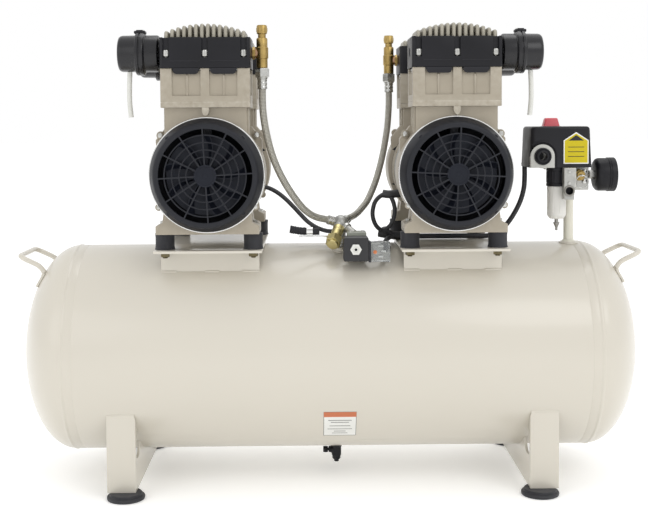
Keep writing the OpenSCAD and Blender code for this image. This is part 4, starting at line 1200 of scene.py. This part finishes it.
def make_safety_valve():
    spot = front(SAFETY_X, 0, GAUGE_Z)
    valve = Piece("safety_valve", "brass")
    body = [(1.56, 38), (9, 38), (9, 41), (8.2, 42), (8.2, 43.4), (9, 44.4), (9, 49), (8, 51.6), (6.4, 52),
            (6, 53), (6, 55.4), (5.4, 56), (1.56, 56)]
    valve.add(hexagon(10, 30, 38), BRASS, spot @ turn("Z", 15)).add(ring(body, 48), BRASS, spot)
    valve.done()
    pull = Piece("safety_ring", "bright_steel", "safety_ring")
    pull.add(disc(1.5, 48, 66, 0.3, 24), ZINC, spot)
    pull.add(torus(10, 0.9, 64, 10), ZINC, front(SAFETY_X, -64, GAUGE_Z - 10))
    pull.done()


def make_tank_label():
    """A plain bordered sticker low on the front of the tank, with bars where the wording would be."""
    label = Piece(None, "white_plastic", name="tank_label")

    def patch(x0, x1, a0, a1, lift, steps=6):
        r0, r1 = TANK_R + lift - 0.12, TANK_R + lift
        bm = bmesh.new()
        angles = [math.radians(a0 + (a1 - a0) * k / steps) for k in range(steps + 1)]
        section = ((x0, r0), (x1, r0), (x1, r1), (x0, r1))
        skin(bm, [[bm.verts.new((x, -r * math.cos(a), TANK_Z - r * math.sin(a))) for x, r in section]
                  for a in angles])
        bmesh.ops.recalc_face_normals(bm, faces=bm.faces)
        return bm

    label.add(patch(-14.8, 35.8, 27.9, 48.7, 0.14), INK).add(patch(-14, 35, 28.3, 48.2, 0.22), WHITE)
    label.add(patch(-14.6, 35.6, 28.1, 31.6, 0.3), RUST)
    for a, reach in ((34, 18), (35.6, 14), (38.6, 16), (41.4, 19), (43.6, 9), (45.6, 12)):
        label.add(patch(10.5 - reach, 10.5 + reach, a, a + 0.42, 0.3, 1), INK)
    label.done()


TANK_MAKERS = (make_tank, make_handles, make_legs, make_saddles, make_drain)
PUMP_MAKERS = (make_castings, make_heads, make_shrouds, make_filters, make_fan_cover, make_rotor, make_stator,
               make_pistons)
OTHER_MAKERS = (make_bearings, make_air_lines, make_solenoid, make_loom, make_riser, make_manifold, make_switch,
                make_gauge, make_filter, make_safety_valve, make_tank_label)
for make in TANK_MAKERS:
    make()
for side_name, side_place in SIDES.items():
    for make in PUMP_MAKERS:
        make(side_name, side_place)
for make in OTHER_MAKERS:
    make()


# ---- floor, light and world

def area_light(name, location, size, watts):
    """A round lamp that points at the middle of the object."""
    data = bpy.data.lights.new(name, "AREA")
    data.shape, data.size, data.energy = "DISK", size, watts
    light = placed(name, data)
    light.location = location
    light.rotation_euler = (Vector((0, 0, 0.4)) - Vector(location)).to_track_quat("-Z", "Y").to_euler()


def make_studio():
    bm = bmesh.new()
    bmesh.ops.create_grid(bm, x_segments=1, y_segments=1, size=30)
    floor = placed("floor", as_mesh(bm, "floor"))
    n = Nodes("pale_floor")
    n.set(Base_Color=n.mix(n.noise(3.0), (0.97, 0.97, 0.965), (0.96, 0.96, 0.955)), Roughness=1.0,
          Specular_IOR_Level=0.0, Emission_Color=(1, 1, 1), Emission_Strength=0.2)
    floor.data.materials.append(n.material)
    area_light("key", (1.7, -2.3, 2.4), 1.8, 17)
    area_light("fill", (-2.2, -2.0, 1.5), 2.0, 7)
    area_light("top", (0.2, 0.6, 2.8), 1.6, 11)
    world = bpy.data.worlds.new("studio")
    world.use_nodes = True
    background = world.node_tree.nodes["Background"].inputs
    background["Color"].default_value = (1, 1, 1, 1)
    background["Strength"].default_value = 1.0
    scene = bpy.context.scene
    scene.world = world
    scene.view_settings.view_transform = "Standard"
    scene.view_settings.look = "None"


make_studio()
